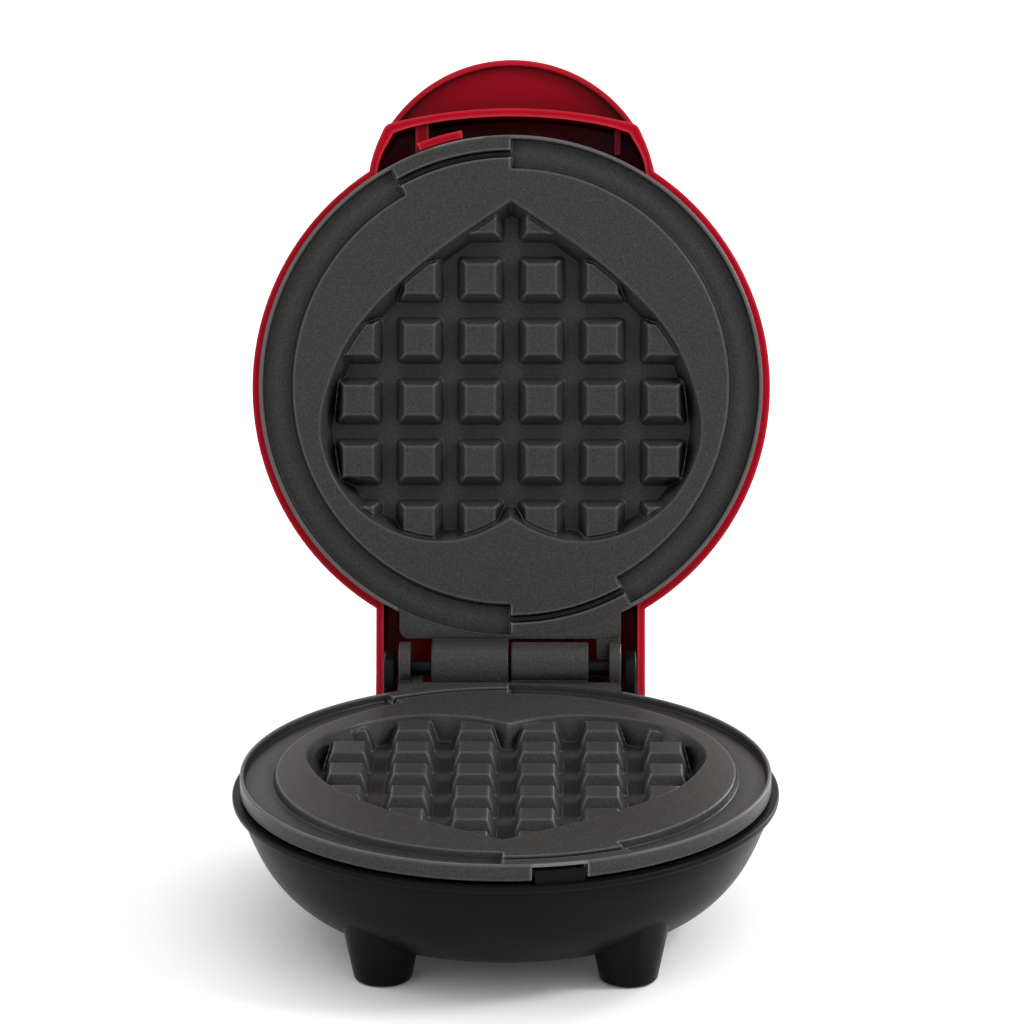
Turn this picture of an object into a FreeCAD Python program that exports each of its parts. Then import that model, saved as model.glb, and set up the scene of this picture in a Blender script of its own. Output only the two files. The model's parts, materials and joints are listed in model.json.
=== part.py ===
# Small round waffle maker with heart-shaped cooking plates, lid standing open.
# Millimetres. +X to the user's right, -Y towards the user, +Z up, z = 0 on the table.
# Everything is drawn with the lid closed about the base centre; the lid pieces are
# then turned open about the hinge axis, and the whole is moved back by frame_y so
# that the origin is the middle of the footprint box of the opened appliance.
import FreeCAD
import Part
import math
import os
from FreeCAD import Vector, Placement, Rotation

doc = FreeCAD.newDocument("WaffleMaker")
sheet = doc.addObject("Spreadsheet::Sheet", "Dims")

DIMS = [
    # frame and hinge
    ("frame_y", 37.47), ("hinge_y", 69.4), ("hinge_z", 38.6), ("lid_open", 108.7),
    # plate castings
    ("rim_z", 37.6), ("plate_rad", 61.95), ("flange_drop", 4.0), ("disc_rad", 53.5),
    ("moat_in", 54.35), ("moat_out", 60.6), ("moat_deep", 1.8), ("key_rad", 56.4),
    ("groove_in", 56.8), ("groove_out", 58.2), ("key_angle", 29.0),
    ("recess_deep", 6.0), ("recess_floor", 2.4), ("pan_wall", 2.6),
    ("peg_pitch", 15.0), ("peg_top", 7.6), ("peg_base", 11.6), ("peg_high", 5.0),
    ("peg_x0", -37.5), ("peg_y0", -41.5),
    ("lug_hw", 27.2), ("lug_edge", 62.1), ("knuckle_rad", 6.5), ("knuckle_in", 0.35),
    ("knuckle_out", 19.2), ("ear_in", 24.3), ("pin_rad", 2.0), ("pin_bore", 2.05),
    ("boss_rad", 3.8), ("boss_bore", 1.5), ("boss_ring", 45.5), ("boss_end", 26.0),
    ("stud_rad", 2.5), ("stud_ring", 22.0), ("strap_x", 13.0),
    # base housing
    ("lip_rad", 63.8), ("lip_z", 32.9), ("bowl_z", 5.9), ("wall", 2.2),
    ("block_hw", 30.9), ("block_back", 70.5), ("block_top", 31.0), ("block_low", 9.0),
    ("cheek_in", 28.2), ("cheek_z", 36.0), ("cheek_rad", 6.0),
    ("leg_x", 28.1), ("leg_dx", 0.5), ("leg_y", 36.0), ("rear_leg_x", 23.5), ("rear_leg_y", 58.0),
    ("leg_rad", 6.6), ("leg_lift", 0.25), ("pad_rad", 4.3), ("pad_high", 1.8),
    ("tab_x0", 7.5), ("tab_x1", 18.7), ("tab_top", 36.1),
    ("post_rad", 5.0), ("head_well", 3.2), ("well_top", 13.4),
    ("gland_x", 13.0), ("gland_z", 19.5), ("gland_hole", 5.2), ("cord_bore", 3.1),
    # lid cover
    ("lid_rim", 44.6), ("lid_rad", 63.95), ("hood_hw", 33.2), ("hood_wall", 1.9),
    ("hood_back", 79.0), ("hood_top", 60.0), ("skirt_y", 69.0), ("boss_top", 60.5),
    ("tongue_rad", 36.65), ("tongue_y", 45.5), ("tongue_thk", 3.0), ("tongue_lip", 5.2),
    ("lens_y", -30.0), ("lens_rad", 3.4),
    # heating elements, shields
    ("ring_rad", 33.0), ("tube_rad", 3.0), ("shield_rad", 38.4), ("shield_thk", 0.6),
    ("shield_z", 18.0), ("can_rad", 8.0), ("can_high", 6.0),
    ("screw_rad", 1.2), ("screw_head", 2.6), ("long_screw", 1.45),
]
for i, (alias, value) in enumerate(DIMS, 1):
    sheet.set("A%d" % i, alias)
    sheet.set("B%d" % i, str(value))
    sheet.setAlias("B%d" % i, alias)
calc = doc.addObject("Spreadsheet::Sheet", "Calc")
doc.recompute()
D = dict(DIMS)


def X(expression):
    """The sheet's aliases in an expression, written with the sheet's name."""
    out, word = "", ""
    for ch in expression + " ":
        if ch.isalnum() or ch == "_":
            word += ch
        else:
            out += ("Dims." + word) if word in D else word
            out += ch
            word = ""
    return out.strip()


def num(value):
    """The value of an expression at the sheet's present numbers."""
    if not isinstance(value, str):
        return float(value)
    calc.set("A1", "=" + X(value))
    calc.recompute()
    return float(calc.get("A1"))


def bind(obj, prop, value):
    if isinstance(value, str):
        obj.setExpression(prop, X(value))
    else:
        obj.setExpression(prop, None)
        parts = prop.split(".")
        if len(parts) == 1:
            setattr(obj, prop, value)


def place(obj, pos=(0, 0, 0), axis=None):
    rot = Rotation() if axis is None else Rotation(Vector(0, 0, 1), Vector(*axis))
    base = Vector(*[0 if isinstance(p, str) else p for p in pos])
    obj.Placement = Placement(base, rot)
    for letter, p in zip("xyz", pos):
        if isinstance(p, str):
            obj.setExpression("Placement.Base." + letter, X(p))


def prim(kind, name, pos=(0, 0, 0), axis=None, **props):
    obj = doc.addObject("Part::" + kind, name)
    for key, value in props.items():
        bind(obj, key, value)
    place(obj, pos, axis)
    return obj


def cyl(name, r, h, pos, axis=None):
    return prim("Cylinder", name, pos, axis, Radius=r, Height=h)


def box(name, l, w, h, pos):
    return prim("Box", name, pos, None, Length=l, Width=w, Height=h)


def cone(name, r1, r2, h, pos, axis=None):
    return prim("Cone", name, pos, axis, Radius1=r1, Radius2=r2, Height=h)


def fuse(name, *objs):
    obj = doc.addObject("Part::MultiFuse", name)
    obj.Shapes = list(objs)
    return obj


def common(name, *objs):
    obj = doc.addObject("Part::MultiCommon", name)
    obj.Shapes = list(objs)
    return obj


def cut(name, base, tool):
    obj = doc.addObject("Part::Cut", name)
    obj.Base = base
    obj.Tool = tool
    return obj


def plane_of(body, role):
    for feature in body.Origin.OriginFeatures:
        if feature.Role == role:
            return feature
    raise RuntimeError(role)


def sketch_on(body, name, role, lift=0):
    sk = body.newObject("Sketcher::SketchObject", name)
    sk.AttachmentSupport = [(plane_of(body, role), "")]
    sk.MapMode = "FlatFace"
    if isinstance(lift, str):
        sk.setExpression("AttachmentOffset.Base.z", X(lift))
    elif lift:
        sk.AttachmentOffset = Placement(Vector(0, 0, lift), Rotation())
    return sk


def polygon(sk, points):
    """A closed polygon whose corners are held by distances from the sketch origin."""
    import Sketcher
    xy = [(num(a), num(b)) for a, b in points]
    n = len(xy)
    for i in range(n):
        a, b = xy[i], xy[(i + 1) % n]
        sk.addGeometry(Part.LineSegment(Vector(a[0], a[1], 0), Vector(b[0], b[1], 0)), False)
    for i in range(n):
        sk.addConstraint(Sketcher.Constraint("Coincident", i, 2, (i + 1) % n, 1))
    for i in range(n):
        for kind, line, value, given in (
            ("DistanceX", -2, xy[i][0], points[i][0]),
            ("DistanceY", -1, xy[i][1], points[i][1]),
        ):
            if abs(value) < 1e-9:
                sk.addConstraint(Sketcher.Constraint("PointOnObject", i, 1, line))
                continue
            k = sk.addConstraint(Sketcher.Constraint(kind, -1, 1, i, 1, value))
            if isinstance(given, str):
                sk.setExpression("Constraints[%d]" % k, X(given))


def body_of(name):
    return doc.addObject("PartDesign::Body", name)


def revolved(name, points):
    """A solid of revolution about Z from a closed (radius, height) polygon."""
    body = body_of(name)
    sk = sketch_on(body, name + "_profile", "XZ_Plane")
    polygon(sk, points)
    rev = body.newObject("PartDesign::Revolution", name + "_rev")
    rev.Profile = sk
    rev.ReferenceAxis = (sk, ["V_Axis"])
    rev.Angle = 360
    sk.Visibility = False
    return body


def extruded(name, role, points, length, lift=0, symmetric=False):
    body = body_of(name)
    sk = sketch_on(body, name + "_profile", role, lift)
    polygon(sk, points)
    pad = body.newObject("PartDesign::Pad", name + "_pad")
    pad.Profile = sk
    if symmetric:
        pad.SideType = "Symmetric"
    bind(pad, "Length", length)
    sk.Visibility = False
    return body


# ---------------------------------------------------------------- heart outline
# Half outline of the recess from the tip (front) to the cusp (hinge side).
HEART = [(0.0, -45.8), (8.2, -40.3), (16.05, -34.9), (23.8, -28.9), (30.6, -22.8),
         (36.4, -16.5), (41.4, -9.0), (45.1, 0.4), (46.8, 8.3), (46.3, 15.2),
         (43.7, 22.2), (39.4, 28.5), (33.7, 33.3), (27.0, 36.6), (18.6, 38.2),
         (11.3, 37.5), (5.3, 35.3), (0.0, 32.3)]


def heart_points(inset):
    """The half outline moved inwards by inset (outwards when negative)."""
    pts, n = [], len(HEART)
    for i, (x, y) in enumerate(HEART):
        if i == 0:
            dx, dy = HEART[1][0] - x, HEART[1][1] - y
            pts.append((0.0, y + inset / (dx / math.hypot(dx, dy))))
            continue
        if i == n - 1:
            dx, dy = HEART[-2][0] - x, HEART[-2][1] - y
            pts.append((0.0, y - inset / (dx / math.hypot(dx, dy))))
            continue
        dx = HEART[i + 1][0] - HEART[i - 1][0]
        dy = HEART[i + 1][1] - HEART[i - 1][1]
        k = math.hypot(dx, dy)
        pts.append((x - inset * dy / k, y + inset * dx / k))
    return pts


def heart_sketch(body, name, inset, lift):
    """Two splines, right and left, that meet at the tip and the cusp."""
    import Sketcher
    sk = sketch_on(body, name, "XY_Plane", lift)
    half = heart_points(inset)
    for sign in (1, -1):
        curve = Part.BSplineCurve()
        curve.interpolate([Vector(sign * x, y, 0) for x, y in half])
        sk.addGeometry(curve, False)
    sk.addConstraint(Sketcher.Constraint("Coincident", 0, 1, 1, 1))
    sk.addConstraint(Sketcher.Constraint("Coincident", 0, 2, 1, 2))
    sk.Visibility = False
    return sk


def heart_loft(name, inset_a, z_a, inset_b, z_b):
    body = body_of(name)
    a = heart_sketch(body, name + "_a", inset_a, z_a)
    b = heart_sketch(body, name + "_b", inset_b, z_b)
    loft = body.newObject("PartDesign::AdditiveLoft", name + "_loft")
    loft.Profile = a
    loft.Sections = [b]
    loft.Ruled = True
    return body


# ---------------------------------------------------------------- plate casting
# Local z = 0 is the rim's top; the cooking side faces up.
flange = cyl("flange_disc", "plate_rad", "flange_drop", (0, 0, "-flange_drop"))
pan = heart_loft("heart_pan", -D["pan_wall"], -3.0, -0.6, -8.4)
lug = extruded("hinge_lug", "XY_Plane",
               [("-lug_hw", 50), ("-lug_hw", "lug_edge"), ("lug_hw - 2.4", "lug_edge"),
                ("lug_hw - 0.7", "lug_edge - 0.7"), ("lug_hw", "lug_edge - 2.4"), ("lug_hw", 50)],
               "flange_drop", "-flange_drop")
# own knuckle: barrel on the hinge axis joined to the lug, and the end ear
barrel = cyl("barrel", "knuckle_rad", "knuckle_out - knuckle_in",
             ("knuckle_in", "hinge_y", "hinge_z - rim_z"), (1, 0, 0))
barrel_web = extruded("barrel_web", "YZ_Plane",
                      [(60.5, "-flange_drop"), ("hinge_y - 5.6", "-flange_drop"),
                       ("hinge_y - 2.0", "-flange_drop - 1.0"), ("hinge_y", -3.0),
                       ("hinge_y", 3.0), ("hinge_y - 6.2", "hinge_z - rim_z + 0.6"),
                       ("hinge_y - 6.4", 0), (60.5, 0)],
                      "knuckle_out - knuckle_in", "knuckle_in")
ear = cyl("ear_disc", "knuckle_rad", "lug_hw - ear_in",
          ("-lug_hw", "hinge_y", "hinge_z - rim_z"), (1, 0, 0))
ear_web = extruded("ear_web", "YZ_Plane",
                   [(60.5, "-flange_drop"), ("hinge_y - 5.6", "-flange_drop"),
                    ("hinge_y - 2.0", "-flange_drop - 1.0"), ("hinge_y", -3.0),
                    ("hinge_y", 3.0), ("hinge_y - 6.2", "hinge_z - rim_z + 0.6"),
                    ("hinge_y - 6.4", 0), (60.5, 0)],
                   "lug_hw - ear_in", "-lug_hw")
ear_step = box("ear_step", 3.2, 6.0, "flange_drop", ("-ear_in", "hinge_y - 8.0", "-flange_drop"))
lug_tongue = box("lug_tongue", "knuckle_out - knuckle_in", 3.0, "flange_drop",
                 ("knuckle_in", 60.5, "-flange_drop"))
bosses, boss_holes = [], []
for i, deg in enumerate((90, 210, 330)):
    x = D["boss_ring"] * math.cos(math.radians(deg))
    y = D["boss_ring"] * math.sin(math.radians(deg))
    px = "boss_ring * cos(%d deg)" % deg
    py = "boss_ring * sin(%d deg)" % deg
    bosses.append(cyl("boss_%d" % i, "boss_rad", "rim_z - boss_end - 2.6", (px, py, "boss_end - rim_z")))
    boss_holes.append(cyl("boss_hole_%d" % i, "boss_bore", 7.2, (px, py, "boss_end - rim_z - 0.2")))
for i, deg in enumerate((30, 150, 270)):
    px = "stud_ring * cos(%d deg)" % deg
    py = "stud_ring * sin(%d deg)" % deg
    bosses.append(cyl("stud_%d" % i, "stud_rad", "rim_z - shield_z - shield_thk - 8.0",
                      (px, py, "shield_z + shield_thk - rim_z")))
    boss_holes.append(cyl("stud_hole_%d" % i, 1.25, 6.6, (px, py, "shield_z + shield_thk - rim_z - 0.2")))
for i, sx in enumerate((-1, 1)):
    bosses.append(cyl("strap_boss_%d" % i, "stud_rad", "can_high + 0.4",
                      ("%d * strap_x" % sx, 0, "-recess_deep - recess_floor - can_high")))
    boss_holes.append(cyl("strap_hole_%d" % i, 1.25, 6.6,
                          ("%d * strap_x" % sx, 0, "-recess_deep - recess_floor - can_high - 0.2")))
blank = fuse("plate_blank", flange, pan, lug, barrel, barrel_web, ear, ear_web, ear_step,
             lug_tongue, *bosses)

# spill ring: a moat in two wide sectors, a narrow groove in the two key sectors
moat = revolved("moat_ring", [("disc_rad", 0.4), ("disc_rad", 0), ("moat_in", "-moat_deep"),
                              ("moat_out", "-moat_deep"), ("moat_out + 0.5", 0), ("moat_out + 0.5", 0.4)])
groove = revolved("groove_ring", [("key_rad", 0.4), ("key_rad", 0), ("groove_in", "-moat_deep"),
                                  ("groove_out - 0.2", "-moat_deep"), ("groove_out", 0), ("groove_out", 0.4)])
wedge_a = prim("Cylinder", "key_wedge_a", (0, 0, -3), None, Radius=66, Height=4, Angle="key_angle")
wedge_b = prim("Cylinder", "key_wedge_b", (0, 0, -3), None, Radius=66, Height=4, Angle="key_angle")
wedge_a.Placement = Placement(Vector(0, 0, -3), Rotation(Vector(0, 0, 1), -90))
wedge_b.Placement = Placement(Vector(0, 0, -3), Rotation(Vector(0, 0, 1), 90))
wedges = fuse("key_wedges", wedge_a, wedge_b)
moat_tool = cut("moat_tool", moat, wedges)
groove_tool = common("groove_tool", groove, wedges)

# heart recess less the waffle pegs
recess = heart_loft("heart_recess", -0.24, 0.5, 2.9, -D["recess_deep"])
pegs = body_of("peg_grid")
slab_sk = sketch_on(pegs, "slab_profile", "XY_Plane", "-recess_deep - 1")
polygon(slab_sk, [(-46, -50), (46, -50), (46, 42), (-46, 42)])
slab = pegs.newObject("PartDesign::Pad", "slab")
slab.Profile = slab_sk
slab.Length = 1.0
doc.recompute()


def octagon(cx, cy, half, corner):
    c = "%s - %s" % (half, corner)
    return [("%s - (%s)" % (cx, c), "%s - (%s)" % (cy, half)), ("%s + (%s)" % (cx, c), "%s - (%s)" % (cy, half)),
            ("%s + (%s)" % (cx, half), "%s - (%s)" % (cy, c)), ("%s + (%s)" % (cx, half), "%s + (%s)" % (cy, c)),
            ("%s + (%s)" % (cx, c), "%s + (%s)" % (cy, half)), ("%s - (%s)" % (cx, c), "%s + (%s)" % (cy, half)),
            ("%s - (%s)" % (cx, half), "%s + (%s)" % (cy, c)), ("%s - (%s)" % (cx, half), "%s - (%s)" % (cy, c))]


peg_a = sketch_on(pegs, "peg_foot", "XY_Plane", "-recess_deep")
polygon(peg_a, octagon("peg_x0", "peg_y0", "peg_base / 2", "1.3"))
peg_b = sketch_on(pegs, "peg_head", "XY_Plane", "-recess_deep + peg_high")
polygon(peg_b, octagon("peg_x0", "peg_y0", "peg_top / 2", "1.0"))
peg = pegs.newObject("PartDesign::AdditiveLoft", "peg")
peg.Profile = peg_a
peg.Sections = [peg_b]
peg.Ruled = True
doc.recompute()
grid = pegs.newObject("PartDesign::MultiTransform", "grid")
grid.Originals = [peg]
steps = []
for axis_name in ("H_Axis", "V_Axis"):
    step = pegs.newObject("PartDesign::LinearPattern", "along_" + axis_name)
    step.Direction = (peg_a, [axis_name])
    step.setExpression("Length", X("peg_pitch * 5"))
    step.Occurrences = 6
    steps.append(step)
grid.Transformations = steps
pegs.Tip = grid
doc.recompute()
recess_tool = cut("recess_tool", recess, pegs)

pin_hole = cyl("pin_hole", "pin_bore", 80, (-40, "hinge_y", "hinge_z - rim_z"), (1, 0, 0))
notch = box("tab_notch", "tab_x1 - tab_x0 + 1.0", 6, "tab_top - rim_z + flange_drop + 1.0",
            ("tab_x0 - 0.5", -64, "-flange_drop - 0.2"))
notch_core = cyl("notch_core", 60.0, 8, (0, 0, -6))
notch_tool = cut("notch_tool", notch, notch_core)
plate_tools = fuse("plate_tools", moat_tool, groove_tool, pin_hole, notch_tool, *boss_holes)
plate_a = cut("plate_ringed", blank, plate_tools)
casting = cut("plate_casting", plate_a, recess_tool)
doc.recompute()


# ---------------------------------------------------------------- small parts
def screw(name, px, py, z_head, up=1, shank="screw_rad", length=5.6, head="screw_head", high=1.7):
    """A pan-head screw whose shank points up (up=1) from z_head, the head's bearing face."""
    h = cyl(name + "_head", head, high, (px, py, "%s - %s" % (z_head, high)))
    s = cyl(name + "_shank", shank, length, (px, py, z_head))
    return fuse(name, h, s)


def ring_at(deg, radius):
    return "%s * cos(%d deg)" % (radius, deg), "%s * sin(%d deg)" % (radius, deg)


def tubular_element(tag):
    """Ring element under a plate, lying against the pan, with its two cold ends turned down."""
    zc = "rim_z - recess_deep - recess_floor - tube_rad"
    ring = prim("Torus", tag + "_ring", (0, 0, zc), None, Radius1="ring_rad", Radius2="tube_rad", Angle3=320)
    ring.Placement = Placement(Vector(0, 0, 0), Rotation(Vector(0, 0, 1), 110))
    ring.setExpression("Placement.Base.z", X(zc))
    parts = [ring]
    for deg in (110, 70):
        px, py = ring_at(deg, "ring_rad")
        parts.append(prim("Sphere", "%s_bend_%d" % (tag, deg), (px, py, zc), None, Radius="tube_rad"))
        parts.append(cyl("%s_end_%d" % (tag, deg), "tube_rad", 5.0, (px, py, zc + " - 5")))
        parts.append(cyl("%s_pin_%d" % (tag, deg), 1.2, 6.0, (px, py, zc + " - 11")))
    return fuse(tag, *parts)


def heat_shield(tag):
    dish = revolved(tag + "_dish", [(9.0, "shield_z"), ("shield_rad", "shield_z"),
                                    ("shield_rad + 1.4", "shield_z + 4.5"),
                                    ("shield_rad + 0.7", "shield_z + 4.7"),
                                    ("shield_rad - 0.5", "shield_z + shield_thk"),
                                    (9.0, "shield_z + shield_thk")])
    holes = []
    for deg in (30, 150, 270):
        px, py = ring_at(deg, "stud_ring")
        holes.append(cyl("%s_hole_%d" % (tag, deg), 1.5, 4, (px, py, "shield_z - 1")))
    for deg in (110, 70):
        px, py = ring_at(deg, "ring_rad")
        holes.append(cyl("%s_port_%d" % (tag, deg), "tube_rad + 0.8", 4, (px, py, "shield_z - 1")))
    return cut(tag, dish, fuse(tag + "_holes", *holes))


def shield_screws(tag, with_strap):
    items = []
    for deg in (30, 150, 270):
        px, py = ring_at(deg, "stud_ring")
        items.append(screw("%s_%d" % (tag, deg), px, py, "shield_z"))
    if with_strap:
        for i, sx in enumerate((-1, 1)):
            items.append(screw("%s_strap_%d" % (tag, i), "%d * strap_x" % sx, 0,
                               "rim_z - recess_deep - recess_floor - can_high - 0.8"))
    return items


# ---------------------------------------------------------------- base housing
bowl_out = revolved("bowl_outer", [
    (0, "lip_z"), ("lip_rad - 0.6", "lip_z"), ("lip_rad", "lip_z - 0.5"), ("lip_rad", "lip_z - 1.0"),
    ("lip_rad - 0.5", "lip_z - 1.5"), ("lip_rad - 1.5", "lip_z - 1.7"),
    (61.8, 29.8), (60.95, 27.4), (59.8, 24.4), (58.4, 21.3), (56.7, 18.1), (54.6, 14.9), (51.7, 11.7),
    (48.0, 8.85), (43.6, 7.0), (38.4, 6.2), (32.0, "bowl_z"), (0, "bowl_z")])
bowl_in = revolved("bowl_inner", [
    (0, 34), ("lip_rad - 3.0", 34), ("lip_rad - 3.0", 30.0), ("61.8 - wall", 28.6), (58.6, 26.4), (57.3, 23.4),
    (55.8, 20.2), (53.7, 17.3), (51.0, 14.6), (47.5, 12.0), (43.2, 10.0), (37.7, 9.1), (31.8, "bowl_z + wall + 0.7"),
    (0, "bowl_z + wall + 0.7")])
block_out = extruded("block_outer", "YZ_Plane",
                     [(38, "block_low"), ("block_back - 6", "block_low"), ("block_back - 2.6", "block_low + 1.0"),
                      ("block_back - 0.7", "block_low + 3.0"), ("block_back", "block_low + 6"),
                      ("block_back", "block_top - 1"), ("block_back - 1", "block_top"), (38, "block_top")],
                     "block_hw * 2", 0, True)
block_in = extruded("block_inner", "YZ_Plane",
                    [(36, "block_low + wall"), ("block_back - 4.9", "block_low + wall"),
                     ("block_back - wall - 0.7", "block_low + wall + 0.6"),
                     ("block_back - wall", "block_low + wall + 2.0"),
                     ("block_back - wall", "block_top - wall"), (36, "block_top - wall")],
                    "(block_hw - wall) * 2", 0, True)
cheeks = []
for i, x0 in enumerate(("cheek_in", "-block_hw")):
    web = extruded("cheek_web_%d" % i, "YZ_Plane",
                   [(60, 28), ("block_back - 1", 28), ("hinge_y + 3.4", 31.2), ("hinge_y + cheek_rad", "cheek_z"),
                    ("hinge_y - cheek_rad", "cheek_z"), ("hinge_y - cheek_rad", 31), (60, 31)],
                   "block_hw - cheek_in", x0)
    crown = cyl("cheek_crown_%d" % i, "cheek_rad", "block_hw - cheek_in", (x0, "hinge_y", "cheek_z"), (1, 0, 0))
    cheeks += [web, crown]
legs = []
for i, (sx, sy, lx, ly) in enumerate(((1, -1, "leg_x + leg_dx", "leg_y"), (-1, -1, "leg_x - leg_dx", "leg_y"),
                                      (1, 1, "rear_leg_x", "rear_leg_y"), (-1, 1, "rear_leg_x", "rear_leg_y"))):
    leg = revolved("leg_%d" % i, [
        (0, "leg_lift"), ("leg_rad - 0.7", "leg_lift"), ("leg_rad - 0.2", "leg_lift + 0.2"),
        ("leg_rad + 0.0", "leg_lift + 0.7"), ("leg_rad + 0.3", "leg_lift + 2.2"), ("leg_rad + 3.5", 17.6),
        (0, 17.6)])
    leg.setExpression("Placement.Base.x", X("%d * (%s)" % (sx, lx)))
    leg.setExpression("Placement.Base.y", X("%d * %s" % (sy, ly)))
    legs.append(leg)
front_tab = box("front_tab", "tab_x1 - tab_x0", 6, "tab_top - lip_z + 1.6", ("tab_x0", -66, "lip_z - 1.6"))
tab_shell = revolved("tab_shell", [("plate_rad + 0.3", 30), ("plate_rad + 0.3", 38), (60.25, 38), (60.25, 30)])
front_tab_c = common("front_tab_curved", front_tab, tab_shell)
posts, wells = [], []
for i, deg in enumerate((90, 210, 330)):
    px, py = ring_at(deg, "boss_ring")
    posts.append(cyl("post_%d" % i, "post_rad", "boss_end - 7", (px, py, 7)))
    wells.append(cyl("well_%d" % i, "head_well", "well_top", (px, py, 0)))
    wells.append(cyl("well_bore_%d" % i, "long_screw + 0.25", "boss_end", (px, py, 1)))
shell_solid = fuse("housing_outer", bowl_out, block_out)
posts_in = common("housing_posts", fuse("post_set", *posts), shell_solid)
hollow = fuse("housing_hollow", bowl_in, block_in)
shell_cut = cut("housing_shell", shell_solid, hollow)
leg_set = fuse("leg_set", *legs)
leg_out = cut("legs_outside", leg_set, hollow)
housing_sum = fuse("housing_sum", shell_cut, leg_out, posts_in, front_tab_c, *cheeks)
pad_wells = []
pads = []
for i, (sx, sy, lx, ly) in enumerate(((1, -1, "leg_x + leg_dx", "leg_y"), (-1, -1, "leg_x - leg_dx", "leg_y"),
                                      (1, 1, "rear_leg_x", "rear_leg_y"), (-1, 1, "rear_leg_x", "rear_leg_y"))):
    pos = ("%d * (%s)" % (sx, lx), "%d * %s" % (sy, ly))
    pad_wells.append(cyl("pad_well_%d" % i, "pad_rad + 0.1", "pad_high + 0.5", pos + (-0.5,)))
    pads.append(cyl("pad_%d" % i, "pad_rad", "pad_high", pos + (0,)))
gland_cut = cyl("gland_cut", "gland_hole", 8, ("gland_x", "block_back - 5", "gland_z"), (0, 1, 0))
lead_port = box("lead_port", 3.4, 8, 6, (20.6, 60, "block_top - 4"))
housing_tools = fuse("housing_tools", gland_cut, lead_port, *(wells + pad_wells))
base_housing = cut("housing_final", housing_sum, housing_tools)
doc.recompute()

# ---------------------------------------------------------------- lid cover (closed position)
dome_out = revolved("dome_outer", [
    (0, "lid_rim"), ("lid_rad - 0.5", "lid_rim"), ("lid_rad", "lid_rim + 0.5"), ("lid_rad", 46.8), (63.65, 49.6),
    (62.8, 53.0), (61.3, 56.5), (58.7, 60.0), (54.6, 63.3), (48.8, 65.9), (40.2, 68.0), (28.1, 69.6),
    (14.0, 70.3), (0, 70.5)])
dome_in = revolved("dome_inner", [
    (0, "lid_rim - 0.6"), (61.6, "lid_rim - 0.6"), (61.6, 49.0), (60.8, 52.4), (59.3, 55.6), (56.8, 58.9),
    (53.0, 61.8), (47.6, 63.9), (39.5, 65.9), (27.6, 67.5), (13.8, 68.1), (0, 68.3)])
hood_out = extruded("hood_outer", "YZ_Plane",
                    [(40, "lid_rim"), ("hood_back", "lid_rim"), ("hood_back", 53.0), ("hood_back - 1.2", 56.6),
                     ("hood_back - 4.2", 59.2), ("hood_back - 8", "hood_top"), (40, "hood_top")],
                    "hood_hw * 2", 0, True)
hood_in = extruded("hood_inner", "YZ_Plane",
                   [(40, "lid_rim - 0.6"), ("hood_back - hood_wall", "lid_rim - 0.6"),
                    ("hood_back - hood_wall", 53.0), ("hood_back - hood_wall - 1.6", 56.0),
                    ("hood_back - 8", "hood_top - hood_wall"), (40, "hood_top - hood_wall")],
                   "(hood_hw - hood_wall) * 2", 0, True)
SKIRT = [(35.5, -50.0), (35.05, -54.0), (34.65, -55.8), (34.0, -58.2), (33.1, -60.5), (32.2, -62.4), (31.0, -64.1),
         (29.6, -65.35), (22.0, -67.0), (11.0, "0.5 - skirt_y"), (0, "-skirt_y"), (-11.0, "0.5 - skirt_y"),
         (-22.0, -67.0), (-29.6, -65.35), (-31.0, -64.1), (-32.2, -62.4), (-33.1, -60.5), (-34.0, -58.2),
         (-34.65, -55.8), (-35.05, -54.0), (-35.5, -50.0)]
skirt_out = extruded("skirt_outer", "XY_Plane", SKIRT, "boss_top - lid_rim", "lid_rim")
SKIRT_IN = [(33.5, -50.0), (33.1, -53.6), (32.7, -55.3), (32.1, -57.5), (31.2, -59.7), (30.4, -61.3), (29.6, -62.4),
            (28.7, -63.3), (21.6, -65.0), (10.9, "2.5 - skirt_y"), (0, "2 - skirt_y"), (-10.9, "2.5 - skirt_y"),
            (-21.6, -65.0), (-28.7, -63.3), (-29.6, -62.4), (-30.4, -61.3), (-31.2, -59.7), (-32.1, -57.5),
            (-32.7, -55.3), (-33.1, -53.6), (-33.5, -50.0)]
skirt_in = extruded("skirt_inner", "XY_Plane", SKIRT_IN, "boss_top - lid_rim - 1.6", "lid_rim - 0.6")
tongue = cyl("tongue_plate", "tongue_rad", "tongue_thk", (0, "-tongue_y", "boss_top - tongue_thk"))
lip_a = cyl("tongue_lip_a", "tongue_rad", "tongue_lip", (0, "-tongue_y", "boss_top - tongue_lip"))
lip_b = cyl("tongue_lip_b", "tongue_rad - 1.6", "tongue_lip + 1", (0, "-tongue_y", "boss_top - tongue_lip - 0.5"))
lip_ring = cut("tongue_lip_ring", lip_a, lip_b)
lip_keep = box("tongue_lip_keep", 90, 31, 20, (-45, -96, 50))
lip_front = common("tongue_lip_front", lip_ring, lip_keep)
lid_solid = fuse("lid_outer", dome_out, hood_out, skirt_out, tongue, lip_front)
lid_hollow = fuse("lid_hollow", dome_in, hood_in, skirt_in)
lid_shell = cut("lid_shell", lid_solid, lid_hollow)
wall_ring = revolved("inner_wall_ring", [(61.4, 48.2), (63.3, 48.2), (63.3, 59.2), (61.4, 59.2)])
wall_keep = box("inner_wall_keep", 38.0, 14, 16, (-12.0, -66, 45))
inner_wall = common("inner_wall", wall_ring, wall_keep)
rib_r = box("rib_right", 1.6, 6.5, 12.0, (25.4, -65.0, 47.2))
rib_l = box("rib_left", 3.4, 6.2, 12.6, (-23.9, -65.0, 46.6))
hook_ring = revolved("hook_ring", [(62.3, 41.4), (64.4, 41.4), (64.4, 59.2), (62.3, 59.2)])
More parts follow.
